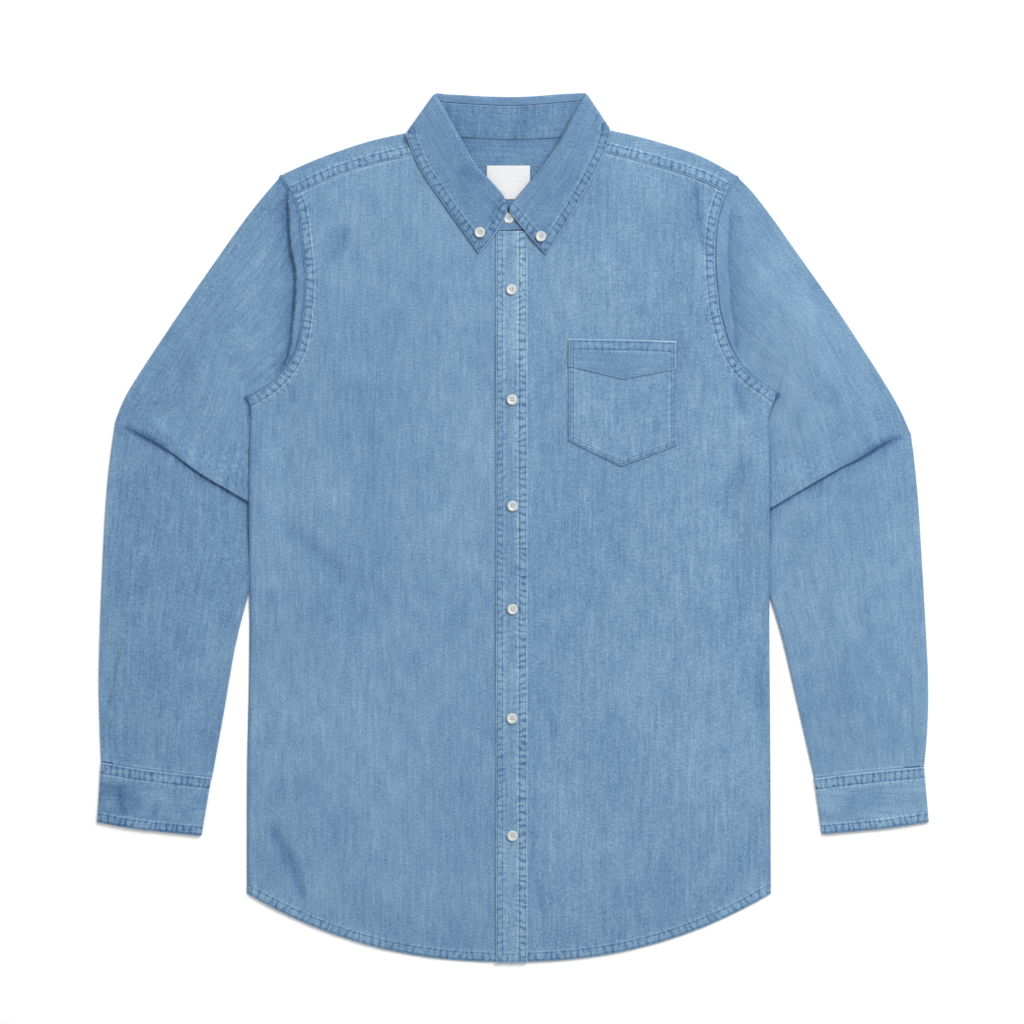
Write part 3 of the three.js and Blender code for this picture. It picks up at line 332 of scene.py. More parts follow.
def shell(grid, thickness, closed=False):
    # a wall round a grid of middle points, with round rims: its points, quads and source points
    n, m = grid.shape[:2]
    if closed:
        across = np.roll(grid, -1, 0) - np.roll(grid, 1, 0)
    else:
        across = np.gradient(grid, axis=0)
    normal = np.cross(across, np.gradient(grid, axis=1))
    normal /= np.linalg.norm(normal, axis=2)[..., None] + 1e-9
    outer = (grid + normal * thickness / 2).reshape(-1, 3)
    inner = (grid - normal * thickness / 2).reshape(-1, 3)
    index = np.arange(n * m).reshape(n, m)
    if closed:
        index = np.vstack([index, index[:1]])
    a, b, c, d = index[:-1, :-1], index[1:, :-1], index[1:, 1:], index[:-1, 1:]
    quads = np.stack([a, b, c, d], -1).reshape(-1, 4)
    total = n * m
    faces = [quads, quads[:, [0, 3, 2, 1]] + total]
    points, source = [outer, inner], [np.arange(total), np.arange(total)]
    if closed:
        loops = [(index[:, 0], index[:, 1]), (index[::-1, -1], index[::-1, -2])]
    else:
        edge = np.concatenate([index[:, 0], index[-1, 1:], index[-2::-1, -1], index[0, -2::-1]])
        inside = np.concatenate([index[:, 1], index[-2, 1:], index[-2::-1, -2], index[1, -2::-1]])
        loops = [(edge, inside)]
    flat = grid.reshape(-1, 3)
    at = 2 * total
    for edge, inside in loops:
        ring, within = edge[:-1], inside[:-1]
        out = flat[ring] - flat[within]
        out /= np.linalg.norm(out, axis=1)[:, None] + 1e-9
        points.append(flat[ring] + out * thickness * 0.4)
        source.append(ring)
        count = len(ring)
        rim = at + np.arange(count)
        nextRim, nextRing = np.roll(rim, -1), np.roll(ring, -1)
        faces.append(np.stack([nextRing, ring, rim, nextRim], -1))
        faces.append(np.stack([nextRim, rim, ring + total, nextRing + total], -1))
        at += count
    points, faces = np.vstack(points), np.vstack(faces)
    p, q, r = (points[faces[:, k]] for k in range(3))
    if (p * np.cross(q, r)).sum() < 0:
        faces = faces[:, ::-1]
    return points, faces, np.concatenate(source)


def makePiece(name, parts, material, nodes, wall=walls["cloth"]):
    # one object from one or more grids, with the material's own coordinates on its points
    points, faces, weave, wearAndShade, marks, start = [], [], [], [], [], 0
    for part in parts:
        grid = part["grid"]
        p, f, source = shell(grid, part.get("wall", wall), part.get("closed", False))
        points.append(p)
        faces.append(f + start)
        start += len(p)
        weave.append(part["weave"].reshape(-1, 2)[source])
        wearAndShade.append(np.broadcast_to(part.get("wearAndShade", 0.0), grid.shape[:2]).reshape(-1)[source])
        marks.append(np.broadcast_to(part.get("mark", (60.0, 0.0, 0.0)), grid.shape).reshape(-1, 3)[source])
    piece = meshObject(name, np.vstack(points), np.vstack(faces))
    seed = sum(ord(letter) for letter in name) % 97
    setVectors(piece, "weave", np.column_stack([np.vstack(weave), np.full(start, seed * 13.7)]))
    setVectors(piece, "seam", np.vstack(marks))
    # wearAndShade holds pale wear together with painted shade, which the material adds to the cloth's tone
    piece.data.attributes.new("wearAndShade", "FLOAT", "POINT").data.foreach_set(
        "value", np.concatenate(wearAndShade).astype(np.float32))
    return dress(piece, material, nodes)


def setVectors(piece, name, vectors):
    piece.data.attributes.new(name, "FLOAT_VECTOR", "POINT").data.foreach_set(
        "vector", vectors.astype(np.float32).ravel())


def meshObject(name, points, faces):
    mesh = bpy.data.meshes.new(name)
    mesh.vertices.add(len(points))
    mesh.vertices.foreach_set("co", (points * millimetre).astype(np.float32).ravel())
    size = faces.shape[1]
    mesh.loops.add(len(faces) * size)
    mesh.loops.foreach_set("vertex_index", faces.astype(np.int32).ravel())
    mesh.polygons.add(len(faces))
    mesh.polygons.foreach_set("loop_start", np.arange(0, len(faces) * size, size, dtype=np.int32))
    mesh.polygons.foreach_set("use_smooth", np.ones(len(faces), bool))
    mesh.update(calc_edges=True)
    piece = bpy.data.objects.new(name, mesh)
    bpy.context.scene.collection.objects.link(piece)
    return piece


def dress(piece, material, nodes):
    piece.data.materials.append(material)
    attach(piece, "root")
    if nodes:
        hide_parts(*nodes)
    triangles = sum(len(p.vertices) - 2 for p in piece.data.polygons)
    print(f"{piece.name}: {triangles} triangles")
    return piece


# Stitches: short threads that lie on the cloth and dip into it at both ends

stitchForm = {"length": 2.2, "pitch": 3.0, "radius": 0.26, "proud": 0.12, "sunk": 0.12}


def sewRows(piece, rows):
    tree = BVHTree.FromPolygons([v.co for v in piece.data.vertices], [p.vertices for p in piece.data.polygons])
    down = Vector((0, 0, -1))
    threads = []
    for row in rows:
        along = run(row)
        starts = np.arange(0.5, along[-1] - stitchForm["length"], stitchForm["pitch"])
        shares = np.array([0, 0.5, 1]) * stitchForm["length"]
        for places in placeOn(row, along, starts[:, None] + shares):
            hits = [tree.ray_cast(Vector((x * millimetre, y * millimetre, 0.05)), down)[0] for x, y in places]
            if None not in hits:
                threads.append([[hit.x, hit.y, hit.z] for hit in hits])
    line = np.array(threads) / millimetre
    line[:, (0, 2), 2] -= stitchForm["sunk"]
    line[:, 1, 2] += stitchForm["proud"]
    direction = line[:, 2] - line[:, 0]
    direction /= np.linalg.norm(direction, axis=1)[:, None]
    side = np.cross(direction, [0, 0, 1.0])
    upward = np.cross(side, direction)
    ring = np.stack([side, upward, -side, -upward], 1)[:, None]
    points = line[:, :, None] + ring * np.array([0.7, 1.0, 0.7])[None, :, None, None] * stitchForm["radius"]
    index = np.arange(len(line) * 12).reshape(-1, 3, 4)
    after = np.roll(index, -1, 2)
    walls = [np.stack([index[:, k], index[:, k + 1], after[:, k + 1], after[:, k]], -1).reshape(-1, 4)
             for k in (0, 1)]
    faces = np.vstack(walls + [index[:, 0], index[:, 2, ::-1]])
    thread = meshObject(piece.name.replace("cloth", "stitches"), points.reshape(-1, 3), faces)
    return dress(thread, stitchThread, [])


def declare(piece, area, rows):
    extra = {"with_pieces": [sewRows(piece, rows)]} if rows else {}


def areaOf(grid, closed=False):
    # area of a grid's cloth in square metres
    if closed:
        grid = np.concatenate([grid, grid[:1]])
    across, down = grid[1:, :-1] - grid[:-1, :-1], grid[:-1, 1:] - grid[:-1, :-1]
    return float(np.linalg.norm(np.cross(across, down), axis=2).sum()) * millimetre ** 2


# Shader maths

class Signal:
    # a node's output, with arithmetic that adds Math nodes and one method that adds any other node
    def __init__(self, tree, socket=None):
        self.tree = tree
        self.socket = socket

    def make(self, kind, settings=None, inputs=None, output=0):
        node = self.tree.nodes.new(kind)
        for key, value in (settings or {}).items():
            if key == "stops":
                setStops(node.color_ramp, value)
            else:
                setattr(node, key, value)
        for key, value in (inputs or {}).items():
            if isinstance(value, Signal):
                self.tree.links.new(value.socket, node.inputs[key])
            else:
                node.inputs[key].default_value = value
        return Signal(self.tree, node.outputs[output])

    def combine(self, operation, first, second):
        return self.make("ShaderNodeMath", {"operation": operation}, {0: first, 1: second})

    def __add__(self, other):
        return self.combine("ADD", self, other)

    def __radd__(self, other):
        return self.combine("ADD", other, self)

    def __sub__(self, other):
        return self.combine("SUBTRACT", self, other)

    def __rsub__(self, other):
        return self.combine("SUBTRACT", other, self)

    def __mul__(self, other):
        return self.combine("MULTIPLY", self, other)

    def __rmul__(self, other):
        return self.combine("MULTIPLY", other, self)

    def scaled(self, x, y, z=1.0):
        return self.make("ShaderNodeVectorMath", {"operation": "MULTIPLY"}, {0: self, 1: (x, y, z)})

    def part(self, name):
        return self.make("ShaderNodeSeparateXYZ", None, {0: self}, name)

    def noise(self, detail=2.0, roughness=0.5):
        # from 0 to 1, with its middle at about a half
        return self.make("ShaderNodeTexNoise", None,
                         {"Vector": self, "Scale": 1.0, "Detail": detail, "Roughness": roughness})

    def rise(self, low, high):
        # a smooth step from 0 at low to 1 at high, which may lie either way round
        return self.make("ShaderNodeMapRange", {"interpolation_type": "SMOOTHSTEP"},
                         {"Value": self, "From Min": low, "From Max": high})

    def near(self, place, width):
        return self.combine("ABSOLUTE", self - place, 0.0).rise(width, 0.0)


def setStops(ramp, stops):
    for k, (place, colour) in enumerate(stops):
        element = ramp.elements[k] if k < 2 else ramp.elements.new(place)
        element.position = place
        element.color = (*colour, 1.0)


def newMaterial(name):
    material = bpy.data.materials.new(name)
    material.use_nodes = True
    tree = material.node_tree
    shader = next(node for node in tree.nodes if node.type == "BSDF_PRINCIPLED")
    return material, Signal(tree), shader


def connect(signal, shader, name):
    signal.tree.links.new(signal.socket, shader.inputs[name])


def linear(red, green, blue):
    return tuple(((c / 255 + 0.055) / 1.055) ** 2.4 if c > 10 else c / 255 / 12.92
                 for c in (red, green, blue))


denim = {
    "tones": [
        (0.0, linear(50, 79, 119)), (0.3, linear(84, 117, 153)), (0.5, linear(107, 140, 170)),
        (0.72, linear(133, 164, 188)), (1.0, linear(180, 197, 208)),
    ],
    "slub": 0.31, "streak": 0.24, "pick": 0.26, "grain": 0.58, "mottle": 0.26, "cloud": 0.24,
    "wearAndShade": 0.28, "roughness": 0.88, "sheen": 0.1, "weaveHeight": 0.11,
    # seams: how fine the puckers are, how strong they are in the band and past it, the painted shade along the
    # stitched lines and the pale row past the band
    "tick": 0.33, "tickPitch": 6.9, "tickDrift": 9.0, "tickLean": 2.4, "tickTone": 0.3, "bandTone": -0.03,
    "pastTone": 0.15, "rowShade": -0.24, "paleRow": 0.14, "tickHeight": 0.3,
}


def makeDenim(name, tint=0.0):
    material, start, shader = newMaterial(name)

    def vector(x, y, z=0.0):
        return start.make("ShaderNodeCombineXYZ", None, {"X": x, "Y": y, "Z": z})

    weave = start.make("ShaderNodeAttribute", {"attribute_name": "weave"}, output="Vector")
    # pale wear and painted shade from the pieces, added to the tone below
    wearAndShade = start.make("ShaderNodeAttribute", {"attribute_name": "wearAndShade"}, output="Fac")
    slub = weave.scaled(0.8, 0.05).noise(3.0, 0.55)            # single warp threads, thick and thin
    streak = weave.scaled(0.3, 0.018).noise(2.0, 0.5)          # groups of threads down the cloth
    pick = weave.scaled(0.16, 0.85).noise(2.0, 0.5)            # weft threads across it
    grain = weave.scaled(0.8, 0.55).noise(1.0, 0.6)
    mottle = weave.scaled(0.06, 0.04).noise(3.0, 0.6)
    cloud = weave.scaled(0.011, 0.008).noise(1.0, 0.5)
    tone = (0.5 + tint + denim["slub"] * (slub - 0.5) + denim["streak"] * (streak - 0.5)
            + denim["pick"] * (pick - 0.5) + denim["grain"] * (grain - 0.5)
            + denim["mottle"] * (mottle - 0.5) + denim["cloud"] * (cloud - 0.5)
            + denim["wearAndShade"] * wearAndShade)

    seam = start.make("ShaderNodeAttribute", {"attribute_name": "seam"}, output="Vector")
    across, along, sewnHere = seam.part("X"), seam.part("Y"), seam.part("Z")
    lean = vector(along * 0.045, across * 0.03, 7.0).noise(1.0) - 0.5
    slide = along + denim["tickLean"] * across * lean
    drift = vector(along * 0.02, across * 0.01, 4.0).noise(1.0)
    beat = start.combine("SINE", slide * (2 * math.pi / denim["tickPitch"]) + denim["tickDrift"] * drift, 0.0)
    rough = vector(slide * denim["tick"], across * 0.16, 2.0).noise(2.0, 0.55)
    tick = 0.42 - (0.27 * beat + 1.5 * (rough - 0.5)).rise(-0.04, 0.36)   # narrow valleys between pale cells
    inBand = across.rise(9.7, 8.7) * across.rise(0.4, 1.6)
    past = across.rise(8.7, 9.7) * across.rise(17.0, 10.0)
    rows = (across.near(1.7, 1.0) + across.near(8.2, 1.0)) * sewnHere.rise(0.2, 0.5)
    tone = tone + sewnHere * (inBand * (denim["tickTone"] * tick + denim["bandTone"])
                              + denim["pastTone"] * past * tick + denim["paleRow"] * across.near(9.9, 1.3))
    # painted shade along the two stitched lines
    tone = tone + denim["rowShade"] * rows
    colour = start.make("ShaderNodeValToRGB", {"stops": denim["tones"]}, {0: tone})
    connect(colour, shader, "Base Color")
    cloth = 0.5 * slub + 0.4 * pick + 0.6 * grain
    height = denim["weaveHeight"] * cloth + denim["tickHeight"] * sewnHere * (inBand + 0.4 * past) * tick
    bumped = start.make("ShaderNodeBump", None, {"Height": height, "Distance": 0.001, "Strength": 0.8})
    connect(bumped, shader, "Normal")
    shader.inputs["Roughness"].default_value = denim["roughness"]
    shader.inputs["Sheen Weight"].default_value = denim["sheen"]
    shader.inputs["Specular IOR Level"].default_value = 0.25
    return material


def makeThread():
    material, start, shader = newMaterial("blue thread")
    place = start.make("ShaderNodeTexCoord", output="Object")
    fade = place.scaled(180, 180, 180).noise(2.0)
    colour = start.make("ShaderNodeValToRGB", {"stops": [(0.35, linear(74, 108, 148)),
                                                         (0.65, linear(122, 153, 186))]}, {0: fade})
    connect(colour, shader, "Base Color")
    shader.inputs["Roughness"].default_value = 0.6
    return material


denimCloth = makeDenim("denim cloth")
stitchThread = makeThread()
print("materials made")


# Back

backCut = {"flat": (0.535, 0.72), "coarse": 6.0, "hemBand": 9.0}


def armholeLine(side):
    return chain(curve(side["armhole"]), curve(side["underarm"]))


def cutAt(line, y):
    # the part of a line that runs down which lies below a level
    below = line[:, 1] < y
    first = int(np.argmax(below))
    above = line[first - 1]
    t = (above[1] - y) / (above[1] - line[first][1])
    return np.vstack([above + (line[first] - above) * t, line[first:]])


def makeBack():
    edges = []
    for side in (sides["right"], sides["left"]):
        tucked = chain(curve(side["tuck"]), curve(side["tuckLower"]))
        tucked = tucked - [side["sign"] * body["backInset"], 0]
        lower = np.array([p for p in side["side"] if p[1] < body["edgeEnd"]], float)
        arm = cutAt(armholeLine(side), body["backSeam"] - 0.25)
        edges.append(np.vstack([arm[:-1], tucked, lower])[::-1])
    rows = spread(790, True, False, backCut["coarse"])
    first, last = (sample(edge, rows) for edge in edges)
    columns = spread(530, True, True, backCut["coarse"])
    x = first[0, 0] + (last[0, 0] - first[0, 0]) * columns
    start = np.stack([x, hemAt(x)], 1)
    end = sample(np.array([first[-1], last[-1]]), columns)
    plan = patch(start, end, first, last)
    _, wearAndShade, mark = sewn(plan[..., 0], plan[..., 1],
                         [{"line": start, "width": backCut["hemBand"], "rise": 0.0, "strength": 0.7}])
    grid = np.dstack([plan, np.full(plan.shape[:2], layers["lower"])])
    piece = makePiece("back_cloth", [{"grid": grid, "weave": plan, "wearAndShade": wearAndShade, "mark": mark}],
                      denimCloth, ["back"])
    declare(piece, areaOf(grid), [])


# Yoke

yokeCut = {
    "flat": (0.475, 0.2), "neckline": [(-92, 394.6), (-60, 392.4), (0, 390), (56, 392.4), (88, 395.8)],
    "band": 9.5, "bandRise": 0.7, "lapOver": 1.2, "wingLap": 3.0, "wall": 0.75,
}


def makeYoke():
    parts, rows, area = [], [], 0
    seam = body["backSeam"] + 0.25
    edges = []
    for side in (sides["right"], sides["left"]):
        arm = curve(side["armhole"])
        above = arm[arm[:, 1] > seam]
        end = curve(side["shoulder"])[-1:]
        edges.append(np.vstack([cutAt(arm, seam)[:1], above[::-1], end]))
    down = spread(85, False, False, 4)
    first, last = (sample(edge, down) for edge in edges)
    columns = spread(480, False, False, 4)
    start = sample(np.array([first[0], last[0]]), columns)
    top = np.vstack([curve(sides["right"]["shoulder"])[::-1], curve(yokeCut["neckline"]),
                     curve(sides["left"]["shoulder"])])
    end = sample(top, columns)
    plan = patch(start, end, first, last)
    under = np.dstack([plan, np.full(plan.shape[:2], layers["lower"])])
    neckShade = -0.35 * hump(plan[..., 1] - 390, 9)
    parts.append({"grid": under, "weave": plan[..., ::-1], "wearAndShade": neckShade - 0.4})
    for side in (sides["right"], sides["left"]):
        sign = side["sign"]
        seamLine = curve(side["yokeSeam"])
        fractions = spread(run(seamLine)[-1], True, False, 1.6)
        foot = moved(sample(seamLine, fractions), sign * yokeCut["lapOver"])
        top = moved(sample(curve(side["shoulder"])[::-1], fractions), sign * layers["reach"])
        t = spread(22, True, False, 1.6)[None, :, None]
        flat = foot[:, None] + (top - foot)[:, None] * t
        x, y = flat[..., 0], flat[..., 1]
        lift, wearAndShade, mark = sewn(x, y, [
            {"line": foot, "width": yokeCut["band"], "rise": yokeCut["bandRise"], "edge": 0.35},
            {"line": armholeLine(side), "width": 8.5, "rise": 0.45, "edge": 0.2},
        ])
        z = layers["upper"] + bodyLift(x, y) + lift
        turn = np.linspace(0, math.pi, 9)[1:]
        bent = np.stack([
            np.broadcast_to(top[:, None, 0], (len(top), len(turn))),
            top[:, None, 1] + layers["fold"] * np.sin(turn),
            np.broadcast_to(layers["lower"] + layers["fold"] * (1 + np.cos(turn)), (len(top), len(turn))),
        ], -1)
        tail = bent[:, -1:] - [0, yokeCut["wingLap"], 0]
        grid = np.concatenate([np.dstack([flat, z]), bent, tail], 1)
        extra = grid.shape[1] - flat.shape[1]
        parts.append({"grid": grid, "weave": grid[..., 1::-1], "wearAndShade": np.pad(wearAndShade, ((0, 0), (0, extra))),
                      "mark": np.pad(mark, ((0, 0), (0, extra), (0, 0)), "edge"), "wall": yokeCut["wall"]})
        above = np.array(side["shoulder"][2])
        rows += [inset(foot, 1.7, above), inset(foot, 8.4, above)]
    piece = makePiece("yoke_cloth", parts, denimCloth, ["yoke"])
    area = sum(areaOf(part["grid"]) for part in parts)
    declare(piece, area, rows)


# Fronts

frontCut = {
    "flat": (0.285, 0.815), "band": 9.0, "bandRise": 0.6, "lapOver": 1.2, "hemBand": 9.2, "hemRise": 0.25,
}


def makeFront(name):
    side = sides[name]
    sign = side["sign"]
    lowLine, armLine = curve(side["side"])[::-1], armholeLine(side)[::-1]
    lowRows, armRows = spread(run(lowLine)[-1], True), spread(run(armLine)[-1], False, True)
    arm = sample(armLine, armRows)
    lap = frontCut["lapOver"] * ease(np.arange(len(arm)) / 4)[:, None]
    arm = arm - sign * lap * (moved(arm, 1.0) - arm)
    edge = chain(sample(lowLine, lowRows), arm)
    seam, neck = curve(side["yokeSeam"]), curve(side["neck"])
    seamColumns, neckColumns = spread(run(seam)[-1], True), spread(run(neck)[-1])
    top = chain(sample(seam, seamColumns), sample(neck, neckColumns))
    top[0] = edge[-1]
    splitX = body["splitX"]
    corner, turn, armpit = lowLine[0], seam[-1], armLine[0]
    centre = chain(
        sample(np.array([(splitX, hemAt(splitX)), (splitX, armpit[1])]), lowRows),
        sample(np.array([(splitX, armpit[1]), tuple(top[-1])]), armRows))
    x = np.concatenate([corner[0] + (turn[0] - corner[0]) * seamColumns,
                        turn[0] + (splitX - turn[0]) * neckColumns[1:]])
    bottom = np.stack([x, hemAt(x)], 1)
    edge[0] = bottom[0]
    plan = patch(bottom, top, edge, centre)
    x, y = plan[..., 0], plan[..., 1]
    lift, wearAndShade, mark = sewn(x, y, [
        {"line": arm, "width": frontCut["band"], "rise": frontCut["bandRise"], "edge": 0.3},
        {"line": bottom, "width": frontCut["hemBand"], "rise": frontCut["hemRise"], "edge": 0.5,
         "strength": 0.75},
    ])
    z = layers["upper"] + bodyLift(x, y) + foldHeight(bodyCreases, x, y) + looseCloth(x, y, 11 + sign) + lift
    sideGap, _ = nearLine(x, y, lowLine)
    hemGap, _ = nearLine(x, y, bottom)
    seamGap, _ = nearLine(x, y, curve(side["yokeSeam"]))
    z = z + rounded(sideGap, 1.0, 3.0) + rounded(hemGap, 0.5, 1.5)
    # painted shade in the creases and along the rolled side edge; the pale line just below the yoke seam is
    # bleached wear
    wearAndShade = wearAndShade + 0.45 * foldHeight(bodyCreases, x, y) - 0.35 * hump(sideGap, 3.0) + 0.6 * hump(seamGap - 2.6, 1.3)
    grid = np.dstack([plan, z])
    piece = makePiece(f"front_{name}_cloth", [{"grid": grid, "weave": plan, "wearAndShade": wearAndShade, "mark": mark}],
                      denimCloth, [f"front_{name}"])
    within = np.array([sign * 100.0, 0.0])
    rows = [inset(arm, 1.7, within), inset(arm, 8.3, within), inset(bottom, 8.6, within)]
    declare(piece, areaOf(grid), rows)


# Sleeves

sleeveCut = {
    "flat": (0.40, 0.66), "columns": 62, "lapUnder": 1.8, "dip": 0.9,
    "upperSwell": 3.0, "forearmSwell": 2.6, "outer": 0.38, "inner": 0.96, "cuffFrom": 0.75,
    "free": 0.25, "even": 0.33, "underStep": 3, "tone": {"right": -0.14, "left": 0.04},
}
# The fold that stands beside the armhole: a strip along the seam, then a crease, then the sleeve
# rising from it. from and to are where the crease runs along the armhole from the shoulder.
armholeFold = {
    # dark is how much shade is painted in and beside the crease
    "right": {"strip": [(0, 5), (6, 8), (26, 11), (56, 12), (76, 9.5), (106, 10), (136, 9.5), (158, 7.5),
                        (176, 4)], "from": -8, "to": 200, "depth": 3.0, "raise": 2.4, "back": 22, "dark": -0.8},
    "left": {"strip": [(0, 7), (37, 13), (90, 13.5), (137, 11), (168, 4.5)], "from": 14, "to": 180,
             "depth": 1.8, "raise": 0.6, "back": 14, "dark": -0.6},
}
elbow = {"pitch": 1.35, "lap": 26, "rise": 22, "run": 7, "start": 0.06, "step": 0.3, "full": 0.55}
# Rows down the fold at the elbow. spread is a row's place in the gentle step near the outer edge,
# lap and reach its place in the full fold, and level counts layers.
elbowFold = [
    {"spread": -1.0, "lap": -1, "reach": -22, "level": 0.0},
    {"spread": -0.8, "lap": -1, "reach": -10, "level": 1.2},
    {"spread": -0.6, "lap": -1, "reach": -2.2, "level": 2.0},
    {"spread": -0.45, "lap": -0.5, "reach": -1.2, "level": 2.0},
    {"spread": -0.3, "lap": 0, "reach": -0.5, "level": 2.0},
    {"spread": -0.15, "lap": 0, "reach": 0.2, "level": 1.83},
    {"spread": -0.05, "lap": 0, "reach": 0.5, "level": 1.5},
    {"spread": 0.05, "lap": 0, "reach": 0.2, "level": 1.17},
    {"spread": 0.15, "lap": 0, "reach": -0.5, "level": 1.0},
    {"spread": 0.25, "lap": -0.9, "reach": -0.6, "level": 1.0},
    {"spread": 0.35, "lap": -1, "reach": -1.2, "level": 0.83},
    {"spread": 0.45, "lap": -1, "reach": -1.5, "level": 0.5},
    {"spread": 0.55, "lap": -1, "reach": -1.2, "level": 0.17},
    {"spread": 0.65, "lap": -0.9, "reach": -0.5, "level": 0.0},
    {"spread": 0.8, "lap": -0.3, "reach": 0.5, "level": 0.0},
    {"spread": 1.0, "lap": 0, "reach": 7, "level": 0.0},
]
sleeveFolds = {
    "right": [
        {"x1": -262, "y1": 270, "x2": -330, "y2": 140, "width": 18, "height": 1.4},
        {"x1": -300, "y1": 180, "x2": -352, "y2": 96, "width": 16, "height": 1.2},
        {"x1": -385, "y1": -95, "x2": -404, "y2": -205, "width": 10, "height": 1.5},
        {"x1": -330, "y1": -120, "x2": -350, "y2": -225, "width": 14, "height": 0.9},
        {"x1": -300, "y1": 40, "x2": -380, "y2": 30, "width": 9, "height": -0.7},
        {"x1": -290, "y1": 120, "x2": -350, "y2": 110, "width": 8, "height": -0.6},
    ],
    "left": [
        {"x1": 262, "y1": 262, "x2": 322, "y2": 150, "width": 18, "height": 1.3},
        {"x1": 228, "y1": 330, "x2": 264, "y2": 232, "width": 8, "height": -0.9},
        {"x1": 300, "y1": 160, "x2": 372, "y2": 95, "width": 16, "height": 1.2},
        {"x1": 392, "y1": -120, "x2": 404, "y2": -232, "width": 10, "height": 1.5},
        {"x1": 330, "y1": -110, "x2": 352, "y2": -220, "width": 14, "height": 0.9},
        {"x1": 300, "y1": 30, "x2": 385, "y2": 20, "width": 9, "height": -0.7},
        {"x1": 285, "y1": 130, "x2": 340, "y2": 118, "width": 8, "height": -0.6},
    ],
}
# Pressed pleats over the cuffs: a step down on one side of a line
pleats = {
    "right": [{"line": [(-386, -96), (-393.5, -131), (-404.5, -181), (-410.5, -212)], "height": 1.5}],
    "left": [{"line": [(392.5, -122), (400, -185), (405.5, -238)], "height": 1.2}],
}
# How the tucked edge runs under the front at the armpit
tuckedEdge = {
    "right": [(-265.5, 128.5), (-261.5, 112), (-258.5, 92), (-256, 72), (-256.5, 22)],
    "left": [(264.3, 131.8), (257.5, 112), (252.5, 92), (250.5, 72), (250, 15.5)],
}


def sleevePlan(side, tucked):
    sign = side["sign"]
    shoulder = np.array([side["shoulder"][-1]], float)
    armhole = moved(chain(shoulder, curve(side["armhole"])), -sign * sleeveCut["lapUnder"])
    armhole[0] = shoulder[0] + [0.4 * sign, 0]
    n = sleeveCut["columns"]
    columns = np.linspace(0, 1, n)
    start = sample(armhole, columns)
    lower = moved(curve(side["underarm"]), -sign * sleeveCut["lapUnder"])
    inner = chain(lower[:-2], curve(tucked))
    rows = np.linspace(0, 1, 90)
    outer = sample(moved(curve(side["upperOuter"]), -sign * layers["reach"]), rows)
    innerUpper = sample(np.vstack([start[-1:], inner[1:]]), rows)
    crease = sample(curve(side["crease"]), columns)
    outer[0] = start[0]
    crease[0] = outer[-1]
    upper = patch(start, crease, outer, innerUpper)
    outerFore = sample(moved(curve(side["forearmOuter"]), -sign * layers["reach"]), rows)
    innerFore = sample(chain(curve(side["tuckLower"]), curve(side["forearmInner"])), rows)
    cuffLine = sample(curve(side["cuffTop"]), columns)
    cuffLine[0, 0] -= sign * layers["reach"]
    outerFore[0], innerFore[0] = crease[0], crease[-1]
    outerFore[-1], innerFore[-1] = cuffLine[0], cuffLine[-1]
    return upper, patch(crease, cuffLine, outerFore, innerFore)


def sleeveColumn(upperPlan, forePlan, across, foldRows, folds):
    line = chain(upperPlan, forePlan)
    along = run(line)
    upperLength = run(upperPlan)[-1]
    foreLength = along[-1] - upperLength
    lap = elbow["lap"] * ease((across - elbow["full"]) / (1 - elbow["full"]))
    rolled = ease((across - elbow["step"]) / (elbow["full"] - elbow["step"]))
    high = ease((across - elbow["start"]) / (elbow["step"] - elbow["start"]))
    reach = lap + elbow["rise"]
    swelling = ease(across / sleeveCut["outer"]) * ease((sleeveCut["inner"] - across) / sleeveCut["outer"])
    nearSeam = np.linspace(0, 0.1, 26, endpoint=False)
    head = (upperLength - reach) * np.append(nearSeam, np.linspace(0.1, 1, 96, endpoint=False))
    gentle = foldRows[:, 0] * np.where(foldRows[:, 0] < 0, reach, elbow["run"])
    folded = foldRows[:, 1] * lap + foldRows[:, 2]
    bend = upperLength + gentle + (folded - gentle) * rolled
    share = np.append(np.linspace(0, 0.965, 112)[1:], np.linspace(0.965, 1, 15)[1:])
    tail = upperLength + elbow["run"] + (foreLength - elbow["run"]) * share
    distance = np.concatenate([head, bend, tail])
    flat = placeOn(line, along, distance)
    x, y = flat[:, 0], flat[:, 1]
    free = ease(np.concatenate([head / upperLength, np.ones(len(bend) + len(tail))]) / sleeveCut["free"])
    down = np.concatenate([np.zeros(len(head) + len(bend)), share])
    even = ease(down / sleeveCut["even"])
    atCuff = 1 - ease((down - sleeveCut["cuffFrom"]) / (1 - sleeveCut["cuffFrom"]))
    start = bodyLift(upperPlan[0, 0], upperPlan[0, 1])
    swell = sleeveCut["upperSwell"] + (sleeveCut["forearmSwell"] - sleeveCut["upperSwell"]) * even
    z = layers["upper"] + (1 - free) * start + swelling * (free * swell * atCuff + foldHeight(folds, x, y))
    level = np.concatenate([np.zeros(len(head)), foldRows[:, 3], np.zeros(len(tail))])
    z = z + level * elbow["pitch"] * high
    under = placeOn(line, along, np.concatenate([head, upperLength + gentle, tail]))
    under = np.column_stack([under, np.full(len(under), layers["lower"])])
    return np.column_stack([x, y, z]), under, distance


def overhang(x, y, line, height):
    # a step beside a plan line: raised on its left, low on its right and easing back up
    distance, along = nearLine(x, y, line, 40)
    first, last = line[0], line[-1]
    direction = (last - first) / np.linalg.norm(last - first)
    side = (x - first[0]) * -direction[1] + (y - first[1]) * direction[0]
    ends = ease(along / 14) * ease((run(line)[-1] - along) / 22)
    return height * ends * np.exp(-distance / 9) * np.where(side > 0, 0.6, -0.6)


